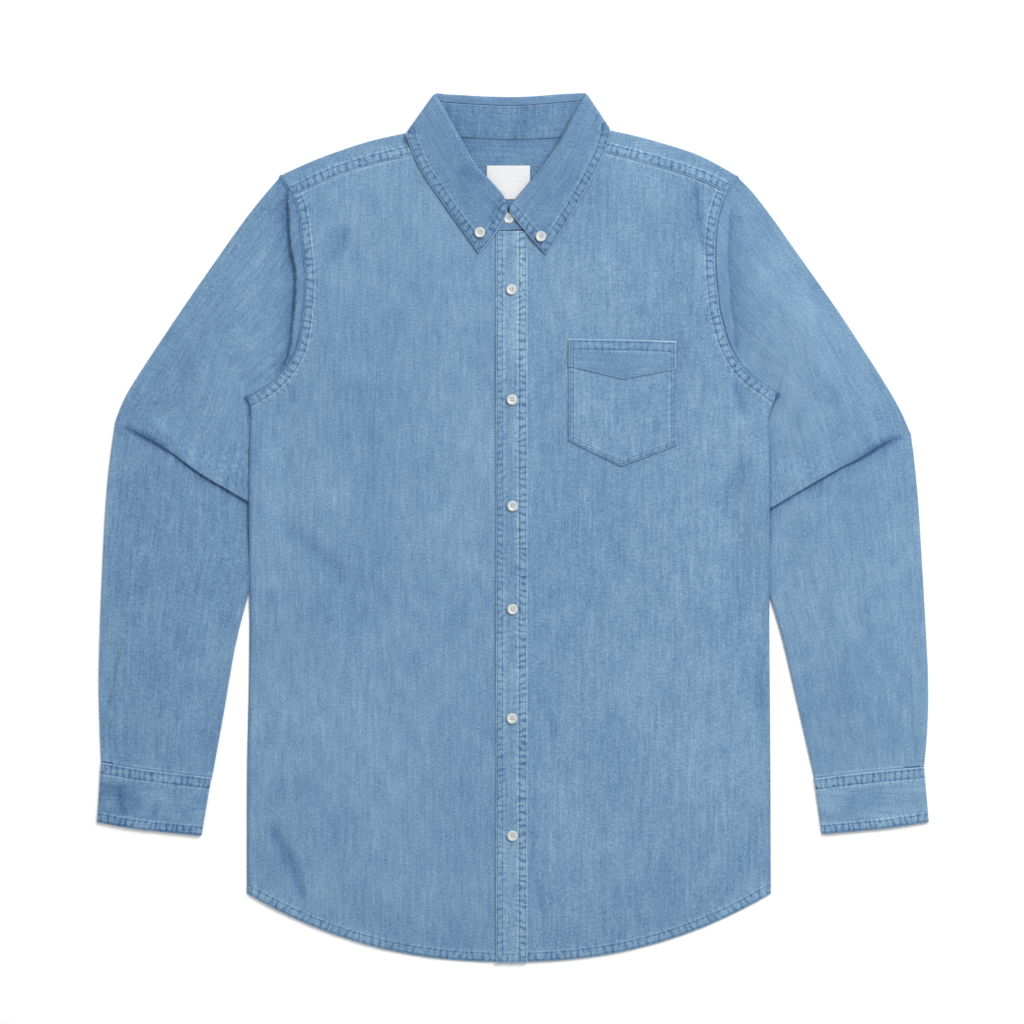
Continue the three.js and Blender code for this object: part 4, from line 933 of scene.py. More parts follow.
def foldByArmhole(x, y, side, form):
    # how the sleeve lies beside the armhole seam, and the painted shade in and beside its crease
    gap, along = nearLine(x, y, armholeLine(side), 70)
    places = np.array(form["strip"], float)
    edge = np.interp(along, places[:, 0], places[:, 1])
    ends = ease((along - form["from"]) / 12) * ease((form["to"] - along) / 26)
    strip = form["raise"] * ease(gap / 3) * ease((edge + 0.4 - gap) / 1.4)
    valley = ease((gap - edge + 0.4) / 1.3) * np.exp(-np.maximum(0, gap - edge - 0.9) / form["back"])
    past = np.maximum(0, gap - edge)
    shade = form["dark"] * ends * (0.75 * hump(gap - edge - 0.9, 1.7) + 0.3 * hump(past - 3.5, 4.5)
                                   + 0.5 * ease(past / 2) * hump(past, 17))
    return gap, ends * (strip - form["depth"] * valley), shade


def paintedSleeveShade(x, y, side):
    # painted shade: dark under the elbow's fold and along its crease, along the armhole seam, and beside the
    # body's edge where the sleeve runs under it
    crease = curve(side["crease"])
    gap, along = nearLine(x, y, crease, 40)
    below = y < np.interp(x, *crease[np.argsort(crease[:, 0])].T)
    dark = below * ease(along / 45) * (1.1 * hump(gap - 0.8, 1.3) + 0.4 * hump(gap, 7))
    dark = dark + 0.75 * ease((along - 4) / 14) * ease((75 - along) / 40) * hump(gap, 3.4)
    edge, down = nearLine(x, y, curve(side["side"]), 30)
    shoulder = chain(np.array([side["shoulder"][-1]], float), armholeLine(side))
    seam, _ = nearLine(x, y, shoulder, 30)
    dark = dark + 0.7 * hump(seam - 1.8, 0.9) + 0.8 * ease((24 - down) / 8) * hump(edge, 2.4)
    return -dark - 0.45 * hump(edge, 1.6) - 0.22 * hump(edge, 6)


def wristLine(x, y, side):
    # beside the cuff the sleeve has painted shade in the seam, darker painted shade in its slit, and a pale line
    # just above the seam
    gap, _ = nearLine(x, y, curve(side["cuffTop"]), 12)
    first, last = side["slit"]
    slit = ease((x - first) / 2) * ease((last - x) / 2)
    return 0.6 * hump(gap - 2.9, 1.1) - 0.55 * hump(gap - 1.2, 1.0) - 1.5 * slit * hump(gap - 1.9, 1.2)


def makeSleeve(name):
    side = sides[name]
    sign = side["sign"]
    upperPlan, forePlan = sleevePlan(side, tuckedEdge[name])
    table = np.array([[row[key] for key in ("spread", "lap", "reach", "level")] for row in elbowFold])
    foldRows = curve(table, 5)
    n = sleeveCut["columns"]
    columns = [sleeveColumn(upperPlan[i], forePlan[i], i / (n - 1), foldRows, sleeveFolds[name])
               for i in range(n)]
    upper, under, down = (np.stack([column[k] for column in columns]) for k in range(3))
    x, y = upper[..., 0], upper[..., 1]
    widths = np.linalg.norm(np.diff(upper[..., :2], axis=0), axis=2).mean(1)
    widthAt = np.concatenate([[0], np.cumsum(widths)])[:, None] * np.ones((1, upper.shape[1]))
    inward = np.linspace(0, 1, n)[:, None]
    settle = ease(inward / 0.12)
    gap, lift, shade = foldByArmhole(x, y, side, armholeFold[name])
    ceiling = upper[..., 2].copy()
    upper[..., 2] += settle * lift - sleeveCut["dip"] * (1 - ease(gap / 3.2))
    for pleat in pleats[name]:
        upper[..., 2] += overhang(x, y, curve(pleat["line"]), pleat["height"])
    upper[..., 2] += looseCloth(widthAt, down, 71 + sign) * settle * ease((1 - inward) / 0.06)
    upper[..., 2] = np.maximum(upper[..., 2], layers["upper"] - 0.5)
    outer = upper[0]
    edge = moved(outer[:, :2], sign * layers["fold"])
    fold = []
    for t in np.linspace(0, 1, 9)[1:-1]:
        plan = outer[:, :2] + (edge - outer[:, :2]) * math.sin(math.pi * t)
        level = layers["lower"] + (outer[:, 2] - layers["lower"]) * (1 + math.cos(math.pi * t)) / 2
        fold.append(np.column_stack([plan, level]))
    picked = np.append(np.arange(0, n - 1, sleeveCut["underStep"]), n - 1)
    grid = np.concatenate([upper[::-1], np.stack(fold), under[picked]])
    across = np.concatenate([widthAt[::-1], np.repeat(widthAt[:1], len(fold), 0) - 1, -widthAt[picked]])
    weave = np.dstack([across, np.broadcast_to(down[0], across.shape)])
    wearAndShade = 0.12 * np.exp(-np.abs(across) / 4)
    # painted shade in the armhole fold's crease, under the elbow's fold, beside the body and in the cuff seam, on
    # top of the sleeve's tone
    wearAndShade[:n] += (shade * settle + paintedSleeveShade(x, y, side) + wristLine(x, y, side) + sleeveCut["tone"][name])[::-1]
    piece = makePiece(f"sleeve_{name}_cloth", [{"grid": grid, "weave": weave, "wearAndShade": wearAndShade}],
                      denimCloth, [f"sleeve_{name}"])
    declare(piece, areaOf(grid), [])


# Cuffs

cuffCut = {
    "flat": (0.245, 0.066), "wall": walls["cuff"], "lower": 0.7, "upper": 2.55, "radius": 0.9,
    "band": 8.5, "topBand": 11.0, "rise": 0.3, "tone": {"right": -0.28, "left": 0.2},
    "mottle": {"right": 0.42, "left": 0.14}, "creaseShade": {"right": 0.75, "left": 0.3},
    "pace": 1.17, "bandShade": -0.16,
}
cuffCreases = {
    "right": [
        {"x1": -393, "y1": -259, "x2": -389, "y2": -288, "width": 4, "height": -0.7},
        {"x1": -355, "y1": -274, "x2": -360, "y2": -291, "width": 3.5, "height": -0.7},
        {"x1": -400, "y1": -255, "x2": -402, "y2": -290, "width": 18, "height": -0.6},
    ],
    "left": [
        {"x1": 340, "y1": -262, "x2": 334, "y2": -292, "width": 5, "height": -0.6},
        {"x1": 398, "y1": -258, "x2": 402, "y2": -284, "width": 4, "height": -0.5},
    ],
}


def makeCuff(name):
    side = sides[name]
    sign = side["sign"]
    top, end = curve(side["cuffTop"]), curve(side["cuffEnd"])
    width = abs(top[-1, 0] - top[0, 0])
    share = 1 - 2 * (cuffCut["radius"] + cuffCut["wall"] / 2) / width

    def narrowed(line):
        middle = (line[0, 0] + line[-1, 0]) / 2
        return np.column_stack([middle + (line[:, 0] - middle) * share, line[:, 1]])

    top, end = narrowed(top) + [0, 1.0], narrowed(end)
    columns, rows = spread(width, False, False, 1.4), spread(58, False, False, 1.3)
    start, stop = sample(top, columns), sample(end, columns)
    first, last = (sample(np.array([start[k], stop[k]]), rows) for k in (0, -1))
    plan = patch(start, stop, first, last)
    x, y = plan[..., 0], plan[..., 1]
    band = {"rise": cuffCut["rise"], "pace": cuffCut["pace"], "shade": cuffCut["bandShade"]}
    lift, wearAndShade, mark = sewn(x, y, [
        {"line": start, "width": cuffCut["topBand"], "edge": 0.95, **band},
        {"line": stop, "width": cuffCut["band"], "edge": -0.3, **band},
    ])
    creased = foldHeight(cuffCreases[name], x, y)
    upper = np.dstack([plan, cuffCut["upper"] + lift + creased + 0.5 * looseCloth(x, y, 88 + sign)])
    # painted shade in the cuff's creases
    wearAndShade = wearAndShade + cuffCut["creaseShade"][name] * creased
    wearAndShade = wearAndShade + cuffCut["mottle"][name] * softNoise(x, y, 13, 301 + sign)
    lower = np.dstack([plan, np.full(x.shape, cuffCut["lower"])])

    def turned(k, direction):
        rings = []
        for t in np.linspace(0, 1, 8)[1:-1]:
            level = lower[k, :, 2] + (upper[k, :, 2] - lower[k, :, 2]) * (1 + math.cos(math.pi * t)) / 2
            shift = direction * cuffCut["radius"] * math.sin(math.pi * t)
            rings.append(np.column_stack([plan[k, :, 0] + shift, plan[k, :, 1], level]))
        return np.stack(rings)

    innerTurn, outerTurn, below = turned(-1, -sign), turned(0, sign)[::-1], lower[::-4]
    grid = np.concatenate([upper, innerTurn, below, outerTurn])

    def around(values):
        # the upper side's values carried round the folds, and over the under side
        rest = [np.repeat(values[-1:], len(innerTurn), 0), values[::-4], np.repeat(values[:1], len(outerTurn), 0)]
        return np.concatenate([values, *rest])

    piece = makePiece(
        f"cuff_{name}_cloth",
        [{"grid": grid, "weave": grid[..., 1::-1], "wearAndShade": around(wearAndShade + cuffCut["tone"][name]), "mark": around(mark), "closed": True,
          "wall": cuffCut["wall"]}],
        denimCloth, [f"cuff_{name}"])
    within = plan[len(plan) // 2, len(rows) // 2]
    lines = [inset(start, 2.0, within), inset(start, 10.2, within), inset(stop, 7.8, within)]
    declare(piece, min(areaOf(grid, True), 0.245 * 0.066), lines)


# Placket and pocket

placketCut = {"flat": (0.032, 0.735), "left": -16.5, "right": 14.6, "top": 296.0, "leftBand": 7.0,
              "rightBand": 8.2, "hemBand": 9.2}
pocketCut = {
    "flat": (0.108, 0.127), "left": 55.8, "right": 163.2, "top": 188, "leftFoot": 86.5, "rightFoot": 81.5,
    "pointX": 108.5, "pointY": 61.0, "seam": 5.2, "fine": 0.65, "fall": 2.5,
}
pocketBandCut = {
    "flat": (0.107, 0.04), "drop": 27.7, "point": 40.5, "rightDrop": 30.6, "pointX": 110.6, "inset": 0.3,
    "seam": 11.0,
}


def onFront(x, y, half):
    return layers["upper"] + bodyLift(x, y) + layers["panelHalf"] + layers["raised"] + half


def makePlacket():
    left, right, top = (placketCut[key] for key in ("left", "right", "top"))
    columns, rows = spread(right - left, False, False, 1.1), spread(734, True, False, 1.7)
    x = (left + (right - left) * columns)[:, None] * np.ones((1, len(rows)))
    foot = hemAt(x) - 0.5
    y = foot + (top - foot) * rows[None, :]
    leftLine, rightLine = (np.array([(edge, -440.0), (edge, top)]) for edge in (left, right))
    hemLine = np.stack([x[:, 0], y[:, 0]], 1)
    lift, wearAndShade, mark = sewn(x, y, [
        {"line": leftLine, "width": placketCut["leftBand"], "rise": 0.12, "edge": 1.1, "strength": 0.75},
        {"line": rightLine, "width": placketCut["rightBand"], "rise": 0.2, "edge": 0.9, "row": 1.1,
         "strength": 1.15},
        {"line": hemLine, "width": placketCut["hemBand"], "rise": 0.1, "edge": 0.5, "strength": 0.75},
    ])
    z = onFront(x, y, 0.55) + lift + 0.25 * looseCloth(x, y, 93)
    z = z + rounded(x - left, 0.5, 1.4) + rounded(right - x, 0.8, 1.4)
    grid = np.dstack([x, y, z])
    piece = makePiece(
        "placket_cloth",
        [{"grid": grid, "weave": grid[..., :2], "wearAndShade": wearAndShade + 0.06, "mark": mark, "wall": walls["doubled"]}],
        denimCloth, ["placket"])
    lines = [np.array([(at, -430.0), (at, 294.0)]) for at in (left + 1.5, left + 6.3, right - 7.4, right - 1.5)]
    declare(piece, areaOf(grid), lines)


def pocketPlan(left, right, top, leftFoot, rightFoot, point, pointX):
    fine, fall = pocketCut["fine"], pocketCut["fall"]
    columns = [spread(pointX - left, True, False, 1.6, fine), spread(right - pointX, False, True, 1.6, fine)]
    topMiddle = top - 0.3 * fall
    topEdge = chain(sample(np.array([(left, top), (pointX, topMiddle)], float), columns[0]),
                    sample(np.array([(pointX, topMiddle), (right, top - fall)], float), columns[1]))
    foot = chain(sample(np.array([(left, leftFoot), (pointX, point)], float), columns[0]),
                 sample(np.array([(pointX, point), (right, rightFoot)], float), columns[1]))
    rows = spread(top - leftFoot, True, True, 1.6, fine)
    first = sample(np.array([(left, top), (left, leftFoot)], float), rows)
    last = sample(np.array([(right, top - fall), (right, rightFoot)], float), rows)
    return patch(topEdge, foot, first, last), topEdge, foot, first, last


def makePocket():
    cut = pocketCut
    plan, top, foot, first, last = pocketPlan(cut["left"], cut["right"], cut["top"], cut["leftFoot"],
                                              cut["rightFoot"], cut["pointY"], cut["pointX"])
    x, y = plan[..., 0], plan[..., 1]
    lift, wearAndShade, mark = sewn(x, y, [
        {"line": line, "width": cut["seam"], "rise": 0.1, "edge": -0.45, "row": 1.7, "rows": (2.0, 4.6),
         "strength": 0.5}
        for line in (first, foot, last)])
    z = onFront(x, y, 0.4) + lift + 0.4 * looseCloth(x, y, 103) - 0.25 * (1 - ease(nearLine(x, y, top)[0] / 2))
    edgeGap = np.minimum.reduce([nearLine(x, y, line)[0] for line in (first, foot, last)])
    # painted shade: a dark line along the stitch row just inside the edge, with a pale strip between it and the
    # edge
    wearAndShade = wearAndShade + 0.12 + 0.45 * hump(edgeGap - 1.1, 0.6) - 0.4 * hump(edgeGap - 2.1, 0.6)
    grid = np.dstack([plan, z + rounded(edgeGap, 0.5, 1.3)])
    pocket = makePiece("pocket_cloth", [{"grid": grid, "weave": plan + [7.0, 3.0], "wearAndShade": wearAndShade, "mark": mark}],
                       denimCloth, ["pocket"])
    within = np.array([108.5, 125.0])
    lines = [inset(line, gap, within) for line in (first, foot, last) for gap in (1.6, 4.6)]
    declare(pocket, areaOf(grid), lines)

    cut = pocketBandCut
    left, right = pocketCut["left"] + cut["inset"], pocketCut["right"] - cut["inset"]
    topY = pocketCut["top"] + cut["inset"]
    plan, top, foot, first, last = pocketPlan(left, right, topY, topY - cut["drop"], topY - cut["rightDrop"],
                                              topY - cut["point"], cut["pointX"])
    x, y = plan[..., 0], plan[..., 1]
    lift, wearAndShade, mark = sewn(x, y, [
        {"line": top, "width": cut["seam"], "rise": 0.1, "edge": 1.3, "row": 0.75, "strength": 0.55},
        {"line": first, "width": 5.0, "rise": 0.05, "edge": 0.9, "row": 0.7, "rows": (1.8, 4.6),
         "strength": 0.5},
        {"line": last, "width": 5.0, "rise": 0.05, "edge": 0.9, "row": 0.7, "rows": (1.8, 4.6),
         "strength": 0.5},
    ])
    footGap = nearLine(x, y, foot)[0]
    z = onFront(x, y, 1.35) + lift + rounded(footGap, 0.3, 1.2) + rounded(nearLine(x, y, top)[0], 0.6, 1.3)
    wearAndShade = wearAndShade + 0.3 * hump(footGap - 1.2, 0.8) - 0.12
    grid = np.dstack([plan, z])
    piece = makePiece(
        "pocket_band_cloth",
        [{"grid": grid, "weave": plan[..., ::-1], "wearAndShade": wearAndShade, "mark": mark, "wall": 0.7}],
        denimCloth, ["pocket_band"])
    lines = [inset(first, 1.0, within), inset(last, 1.0, within)]
    declare(piece, areaOf(grid), lines)


# Collar

# Each row is a section, from the right front edge round the neck to the left. x, y is the roll,
# freeX, freeY the leaf's free edge and seamX, seamY the neckband's lower edge. turn is how far
# round the section has gone: 0 on top of the shirt, 90 at the side fold and 180 underneath.
collarKeys = ("x", "y", "freeX", "freeY", "seamX", "seamY", "turn", "height", "seamZ")
collarSections = [
    (-6.2, 320.5, -33.5, 274, -12, 297, 0, 2.3, 2.2),
    (-8.5, 330, -46, 291.5, -24, 300, 0, 3.3, 2.4),
    (-20, 343.5, -57.5, 307.5, -42, 308, 0, 4.8, 3.0),
    (-36, 361, -72, 328, -62, 324.5, 0, 6.1, 3.7),
    (-53, 390, -88.5, 352, -78.5, 348, 0, 6.7, 4.0),
    (-66, 413, -99, 373, -91.5, 373.5, 0, 6.8, 3.3),
    (-73, 426, -103.5, 386, -95.6, 386, 25, 6.4, 2.6),
    (-74.5, 430, -104.5, 392, -96.2, 393, 90, 5.1, 1.7),
    (-72, 432.5, -94, 401, -88, 394.6, 155, 3.9, 1.1),
    (-58, 431.8, -68, 402, -62, 391.2, 180, 3.5, 1),
    (0, 429.5, 0, 402, 0, 388.2, 180, 3.5, 1),
    (54, 432.8, 63, 402.5, 57, 391, 180, 3.5, 1),
    (68, 433, 89, 403, 84, 395.4, 155, 3.9, 1.1),
    (70.5, 430.5, 96, 396, 90.6, 394.8, 90, 5.1, 1.7),
    (69, 426, 96, 390, 90, 388, 25, 6.4, 2.6),
    (60, 409.5, 92, 376, 85, 375.5, 0, 6.8, 3.3),
    (47.5, 386, 84, 358, 73, 352, 0, 6.7, 4.0),
    (32, 363, 71.5, 334.5, 58.5, 327.5, 0, 6.3, 3.9),
    (17.5, 345, 58, 311, 43, 309.5, 0, 5.3, 3.8),
    (6.5, 332, 46.5, 293, 27, 301, 0, 4.4, 3.7),
    (-2.6, 320.5, 33.5, 273, 12, 298.8, 0, 3.7, 3.7),
]
# The neckband's ends past the leaf: x, y, seamX, seamY, height and seamZ
bandEnds = {
    "right": [(8.5, 313, 10.5, 297.5, 2.2, 2.2), (0, 313, 0, 297, 2.2, 2.2)],
    "left": [(-5, 314.5, -2, 297.6, 3.7, 3.7), (-14.5, 311, -15.5, 297, 3.65, 3.7)],
}
# The leaf's section: how far from the roll, and how far outside the neckband's layer
leafRoll = [(7.6, 0), (4, 0), (1.3, 0.15), (0.1, 0.9), (0.1, 2.0), (1.3, 2.75), (5, 2.9)]
collarCut = {
    "columns": 330, "bow": 1.6, "leafSeam": 7.6, "rollGap": 1.1, "stand": 2.9, "rest": 0.75,
    "bandCurve": 1.8, "wall": 1.1, "edgeBand": 9.0, "solidBand": 1.2, "sideOut": 0.85,
    # how far the front edges of the two leaves bow over to each other: at the roll and halfway
    "bowRight": (3.0, 14.0), "bowLeft": (-4.2, -4.0), "bowFade": 22.0,
}
leafCreases = [
    {"x1": -9, "y1": 331, "x2": -18, "y2": 317, "width": 3, "height": -0.7},
    {"x1": -18, "y1": 317, "x2": -21, "y2": 303, "width": 3, "height": -0.6},
    {"x1": -54, "y1": 356, "x2": -30, "y2": 346, "width": 6, "height": -0.5},
]


def collarTable():
    rows = curve(collarSections, 24)
    steps = np.linspace(0, len(rows) - 1, collarCut["columns"])
    low = np.floor(steps).astype(int).clip(0, len(rows) - 2)
    rows = rows[low] + (rows[low + 1] - rows[low]) * (steps - low)[:, None]
    table = {key: rows[:, k] for k, key in enumerate(collarKeys)}
    dx, dy = table["freeX"] - table["x"], table["freeY"] - table["y"]
    table["length"] = np.hypot(dx, dy)
    turn = np.radians(table["turn"])
    side = np.where(table["x"] < 0, -1, 1)
    out = collarCut["sideOut"] * side * np.sin(turn) / table["length"]
    table["along"] = np.stack([dx, dy], 1) / table["length"][:, None]
    table["out"] = np.stack([-dy * out, dx * out], 1)
    table["up"], table["turning"] = np.cos(turn), np.sin(turn)
    return table


def makeLeaf(table):
    high = table["height"] + collarCut["stand"] * table["up"]
    rest = (layers["upper"] + bodyLift(table["freeX"], table["freeY"]) + layers["panelHalf"]
            + layers["raised"] + collarCut["solidBand"] * collarCut["rest"])
    rest = np.where(table["turn"] < 90, rest, collarCut["solidBand"] / 2)
    free = rest + (high - rest) * table["turning"]
    roll = np.stack([table["x"], table["y"]], 1)

    def at(distance, out, level, kept=1.0):
        plan = roll + table["along"] * np.reshape(distance, (-1, 1))
        plan = plan + table["out"] * (collarCut["bow"] + out) * kept
        return np.column_stack([plan, level])

    rows = [at(np.full(len(roll), d), out, table["height"] + out * table["up"]) for d, out in leafRoll]
    start = leafRoll[-1][0]
    for t in (0.34, 0.67, 1.0):
        distance, level = start + (table["length"] - start) * t, high + (free - high) * t
        rows.append(at(distance, collarCut["stand"], level, 1 - 0.55 * t))
    sections = np.stack(rows, 1)
    fractions = spread(62, True, True, 1.6)
    grid = np.stack([sample(curve(section, 8), fractions) for section in sections])
    down = np.hypot(*(grid[..., :2] - roll[:, None]).transpose(2, 0, 1)) / table["length"][:, None]
    fromRight = run(roll)[:, None]
    for ends, away in (("bowRight", fromRight), ("bowLeft", fromRight[-1] - fromRight)):
        atRoll, belly = collarCut[ends]
        shift = (1 - down) * (atRoll + belly * down) * np.exp(-(away / collarCut["bowFade"]) ** 2)
        grid[..., 0] += shift * ease(down / 0.12)
    x, y = grid[..., 0], grid[..., 1]
    freeLine = grid[:, -1, :2]
    visible = np.where(table["turn"] < 100)[0]
    right, left = visible[visible < len(roll) // 2], visible[visible > len(roll) // 2]
    top = len(fractions) // 4
    edges = [freeLine[right], freeLine[left][::-1], grid[0, top:, :2], grid[-1, top:, :2]]
    lift, wearAndShade, mark = sewn(x, y, [
        {"line": line, "width": collarCut["edgeBand"], "rise": 0.1, "edge": 0.8, "row": 0.9,
         "strength": 0.8} for line in edges])
    across = np.gradient(grid, axis=0)
    normal = np.cross(across, np.gradient(grid, axis=1))
    normal /= np.linalg.norm(normal, axis=2)[..., None] + 1e-9
    outward = np.sign(normal[5, -6, 2]) or 1
    length = run(freeLine)[:, None] * np.ones(x.shape)
    width = np.broadcast_to(fractions * 62, x.shape)
    creased = foldHeight(leafCreases, x, y)
    loose = 0.5 * looseCloth(length, width, 117) * ease(width / 18) + creased
    seen = np.sign(normal[..., 2]) * outward > 0
    grid = grid + normal * (outward * (np.where(seen, lift, 0) + loose))[..., None]
    grid[..., 2] = np.maximum(grid[..., 2], collarCut["wall"] / 2 + 0.03)   # the leaf lies on the floor behind
    # the leaf's creases are darkened with painted shade
    piece = makePiece(
        "collar_leaf_cloth",
        [{"grid": grid, "weave": np.dstack([width, length]), "wearAndShade": wearAndShade - 0.32 + 0.9 * creased, "mark": mark,
          "wall": collarCut["wall"]}],
        denimCloth, ["collar_leaf"])
    within = np.array([0.0, 400.0])
    lines = [inset(line, gap, within) for line in edges for gap in (1.0, 8.4)]
    declare(piece, min(areaOf(grid), 0.49 * 0.075), lines)


def makeNeckband(table):
    t = spread(32, True, True, 1.4)[None, :]

    def column(x, y, seamX, seamY, height, seamZ, out=None):
        x, y, seamX, seamY, height, seamZ = (np.reshape(v, (-1, 1)) for v in (x, y, seamX, seamY, height, seamZ))
        out = np.zeros((len(x), 2)) if out is None else out
        plan = np.dstack([x + (seamX - x) * t + out[:, :1] * collarCut["bow"] * (1 - t),
                          y + (seamY - y) * t + out[:, 1:] * collarCut["bow"] * (1 - t)])
        return np.dstack([plan, seamZ + (height - seamZ) * (1 - t ** collarCut["bandCurve"])])

    start = collarCut["leafSeam"] + collarCut["rollGap"]
    upper = np.stack([table["x"], table["y"]], 1) + table["along"] * start
    under = table["turn"] > 90
    middle = column(upper[:, 0], upper[:, 1], table["seamX"], table["seamY"], table["height"],
                    table["seamZ"] + 0.4 * under, table["out"])
    ends = {}
    for name, k in (("right", 0), ("left", -1)):
        data = np.array(bandEnds[name])
        nearest = data[1] if k == 0 else data[0]
        joint = [*middle[k, 0, :2], *middle[k, -1, :2], nearest[4], nearest[5]]
        ends[name] = column(*curve(np.insert(data, 2 if k == 0 else 0, joint, 0), 8).T)
    grid = np.concatenate([ends["right"][:-1], middle, ends["left"][1:]])
    x, y = grid[..., 0], grid[..., 1]
    lift, wearAndShade, mark = sewn(x, y, [
        {"line": grid[:, -1, :2], "width": 8.0, "rise": 0.0, "edge": 0.5, "row": 0.9, "strength": 0.28},
        {"line": grid[:, 0, :2], "width": 8.0, "rise": 0.0, "edge": 0.5, "row": 0.9, "strength": 0.28},
    ])
    grid[..., 2] += 0.3 * lift
    along = run(grid[:, 0, :2])[:, None] * np.ones(x.shape)
    weave = np.dstack([along, np.broadcast_to(t * 34, x.shape)])
    piece = makePiece(
        "collar_band_cloth",
        [{"grid": grid, "weave": weave, "wearAndShade": wearAndShade - 0.42, "mark": mark, "wall": collarCut["wall"]}],
        denimCloth, ["collar_band"])
    within = np.array([0.0, 345.0])
    lines = [moved(sample(grid[:, k, :2], np.linspace(0, 1, 160)), gap) for k, gap in ((0, -1.2), (-1, 1.2))]
    declare(piece, min(areaOf(grid), 0.475 * 0.038), lines)


makeBack()
makeYoke()
for name in sides:
    makeFront(name)
    makeSleeve(name)
    makeCuff(name)
makePlacket()
makePocket()
collar = collarTable()
makeNeckband(collar)
makeLeaf(collar)
print("cloth pieces made")


# Label

labelCut = {"flat": (0.043, 0.034), "left": -25.7, "right": 17.3, "top": 361.5, "bottom": 328, "level": 1.7}


def makeTape():
    material, start, shader = newMaterial("white tape")
    weave = start.make("ShaderNodeAttribute", {"attribute_name": "weave"}, output="Vector")
    rib = weave.scaled(1.6, 0.5).noise(2.0)
    colour = start.make("ShaderNodeValToRGB", {"stops": [(0.3, linear(205, 206, 208)),
                                                         (0.7, linear(226, 227, 228))]}, {0: rib})
    connect(colour, shader, "Base Color")
    bumped = start.make("ShaderNodeBump", None, {"Height": rib, "Distance": 0.0001, "Strength": 0.3})
    connect(bumped, shader, "Normal")
    shader.inputs["Roughness"].default_value = 0.75
    return material


def makeLabel():
    cut = labelCut
    x = np.linspace(cut["left"], cut["right"], 40)[:, None] * np.ones((1, 32))
    y = np.linspace(cut["bottom"], cut["top"], 32)[None] * np.ones((40, 1))
    z = cut["level"] + 0.12 * softNoise(x, y, 14, 131)
    grid = np.dstack([x, y, z])
    piece = makePiece("label_tape", [{"grid": grid, "weave": grid[..., :2], "wall": walls["label"]}],
                      makeTape(), ["label"])


makeLabel()
print("label made")


# Buttons

buttonForm = {
    "radius": 5.3, "height": 2.2, "rings": 22, "spokes": 60, "rim": 0.82, "dish": 0.55, "round": 0.5,
    "holeAt": 1.4, "hole": 0.5, "holeDepth": 0.7,
}
buttonNodes = ["button_neck", "button_collar_right", "button_collar_left"]
buttonNodes += [f"button_front_{k}" for k in range(1, 7)]


def makePearl():
    material, start, shader = newMaterial("pearl button")
    place = start.make("ShaderNodeTexCoord", output="Object")
    cloud = place.scaled(260, 420, 300).noise(3.0)
    wearAndShade = start.make("ShaderNodeAttribute", {"attribute_name": "wearAndShade"}, output="Fac")
    colour = start.make("ShaderNodeValToRGB", {"stops": [
        (0.0, linear(112, 118, 122)), (0.5, linear(176, 183, 184)), (0.8, linear(211, 214, 211)),
    ]}, {0: 0.45 + 0.4 * cloud + wearAndShade})
    connect(colour, shader, "Base Color")
    shader.inputs["Roughness"].default_value = 0.32
    shader.inputs["Coat Weight"].default_value = 0.3
    return material


def makeButton(node, material, sunk):
    form = buttonForm
    low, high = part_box(node)
    centre = (low + high) / 2 / millimetre
    base = low.z / millimetre - sunk
    r = np.concatenate([np.linspace(0.02, 1, form["rings"])]) * form["radius"]
    a = np.linspace(0, 2 * math.pi, form["spokes"], endpoint=False)
    rr, aa = r[None, :] * np.ones((len(a), 1)), a[:, None] * np.ones((1, len(r)))
    share = rr / form["radius"]
    dish = form["dish"] * (1 - ease((share - 0.35) / 0.4)) + 0.15 * hump(share - 0.6, 0.1)
    z = form["height"] - dish - form["round"] * ease((share - form["rim"]) / (1 - form["rim"])) ** 2
    x, y = rr * np.cos(aa), rr * np.sin(aa)
    holes = np.zeros(x.shape)
    for k in range(4):
        angle = math.pi / 2 * (k + 0.5)
        gap = np.hypot(x - form["holeAt"] * math.cos(angle), y - form["holeAt"] * math.sin(angle))
        holes = np.maximum(holes, 1 - ease((gap - form["hole"] + 0.2) / 0.4))
    z = z - form["holeDepth"] * holes
    topRows = np.dstack([x, y, z])
    side = []
    for radius, level in ((1.0, 1.2), (0.97, 0.35), (0.88, 0.0), (0.4, 0.0), (0.02, 0.0)):
        side.append(np.stack([radius * form["radius"] * np.cos(a), radius * form["radius"] * np.sin(a),
                              np.full(len(a), level)], 1))
    grid = np.concatenate([topRows, np.stack(side, 1)], 1)
    grid = grid + [centre.x, centre.y, base]
    count, rings = grid.shape[:2]
    index = np.arange(count * rings).reshape(count, rings)
    wrapped = np.vstack([index, index[:1]])
    quads = np.stack([wrapped[:-1, :-1], wrapped[:-1, 1:], wrapped[1:, 1:], wrapped[1:, :-1]], -1).reshape(-1, 4)
    points = np.vstack([grid.reshape(-1, 3), grid[:, 0].mean(0), grid[:, -1].mean(0)])
    total = count * rings
    caps = []
    for k in range(count):
        caps.append((wrapped[k, 0], wrapped[k + 1, 0], total, total))
        caps.append((wrapped[k + 1, -1], wrapped[k, -1], total + 1, total + 1))
    piece = capped(node + "_pearl", points, quads, caps)
    # painted shade in the four holes
    wearAndShade = np.concatenate([np.hstack([-0.6 * holes, np.zeros((count, len(side)))]).ravel(), [0, 0]])
    piece.data.attributes.new("wearAndShade", "FLOAT", "POINT").data.foreach_set("value", wearAndShade.astype(np.float32))
    dress(piece, material, [node])


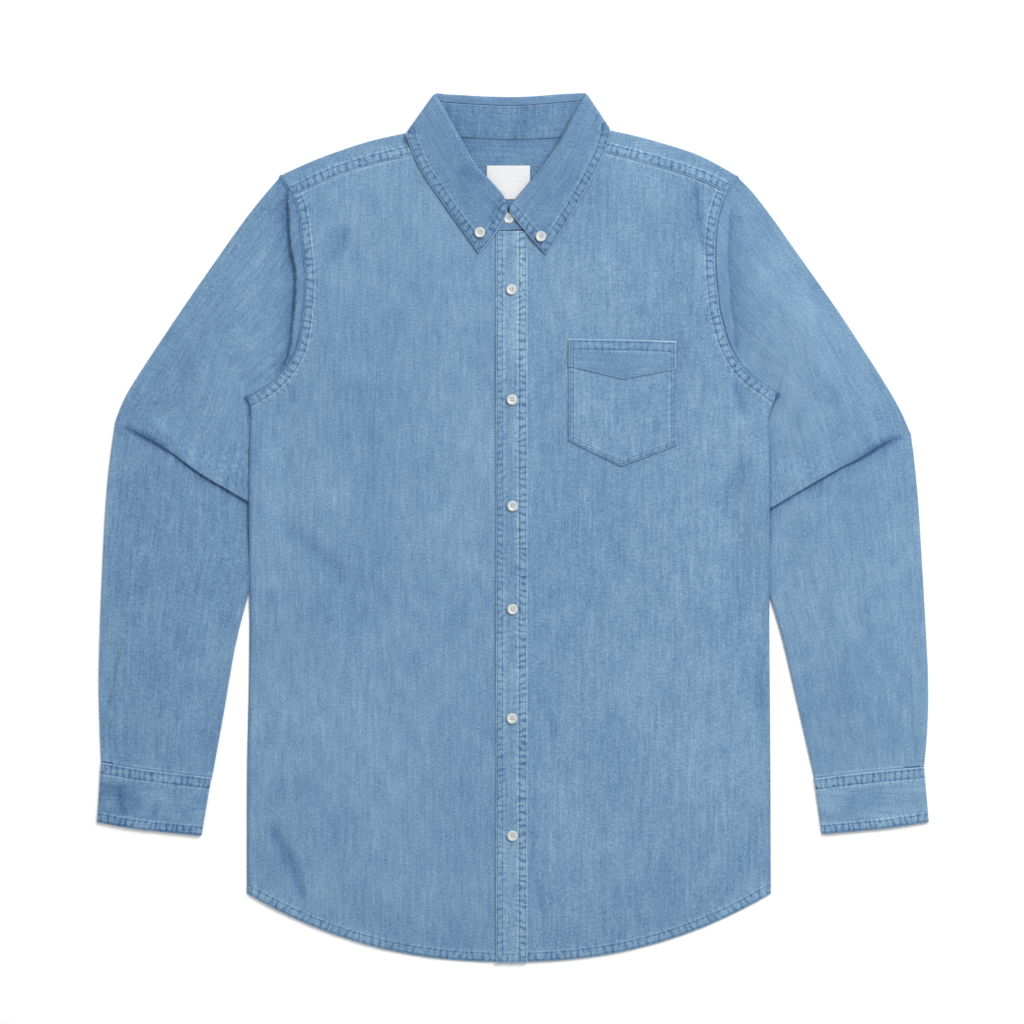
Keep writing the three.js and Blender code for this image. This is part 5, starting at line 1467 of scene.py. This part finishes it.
def capped(name, points, quads, triangles):
    mesh = bpy.data.meshes.new(name)
    faces = [tuple(int(v) for v in q) for q in quads] + [tuple(int(v) for v in t[:3]) for t in triangles]
    mesh.from_pydata([tuple(p) for p in points * millimetre], [], faces)
    mesh.polygons.foreach_set("use_smooth", np.ones(len(mesh.polygons), bool))
    mesh.update()
    piece = bpy.data.objects.new(name, mesh)
    bpy.context.scene.collection.objects.link(piece)
    return piece


pearl = makePearl()
for node in buttonNodes:
    makeButton(node, pearl, 1.9 if node == "button_neck" else 0.3)   # the collar lies over the top one
print("buttons made")


# Floor, light and camera

stageLook = {"floor": 0.93, "sky": 0.66, "key": 214.0, "keyAt": (2.2, 3.0, 3.4), "keySize": 2.4,
             "cameraHeight": 3.0, "frameWidth": 1.024, "cameraX": -0.0005, "cameraY": 0.0155}


def makeStage():
    material, start, shader = newMaterial("pale floor")
    shader.inputs["Base Color"].default_value = (stageLook["floor"],) * 3 + (1,)
    shader.inputs["Roughness"].default_value = 1.0
    half = 6000
    floor = meshObject("floor", np.array([(-half, -half, -0.1), (half, -half, -0.1), (half, half, -0.1),
                                          (-half, half, -0.1)], float), np.array([[0, 1, 2, 3]]))
    floor.data.materials.append(material)
    world = bpy.data.worlds.new("studio")
    world.use_nodes = True
    background = world.node_tree.nodes["Background"]
    background.inputs[0].default_value = (1, 1, 1, 1)
    background.inputs[1].default_value = stageLook["sky"]
    bpy.context.scene.world = world
    light = bpy.data.lights.new("key", "AREA")
    light.energy, light.shape, light.size = stageLook["key"], "DISK", stageLook["keySize"]
    lamp = bpy.data.objects.new("key", light)
    lamp.location = stageLook["keyAt"]
    lamp.rotation_euler = (-Vector(stageLook["keyAt"])).to_track_quat("-Z", "Y").to_euler()
    bpy.context.scene.collection.objects.link(lamp)
    camera = bpy.data.cameras.new("camera")
    camera.sensor_width = 36
    camera.lens = 36 * stageLook["cameraHeight"] / stageLook["frameWidth"]
    camera.clip_end = 100
    eye = bpy.data.objects.new("camera", camera)
    eye.location = (stageLook["cameraX"], stageLook["cameraY"], stageLook["cameraHeight"])
    bpy.context.scene.collection.objects.link(eye)
    bpy.context.scene.camera = eye
    bpy.context.scene.view_settings.view_transform = "Standard"


makeStage()
print("stage made")
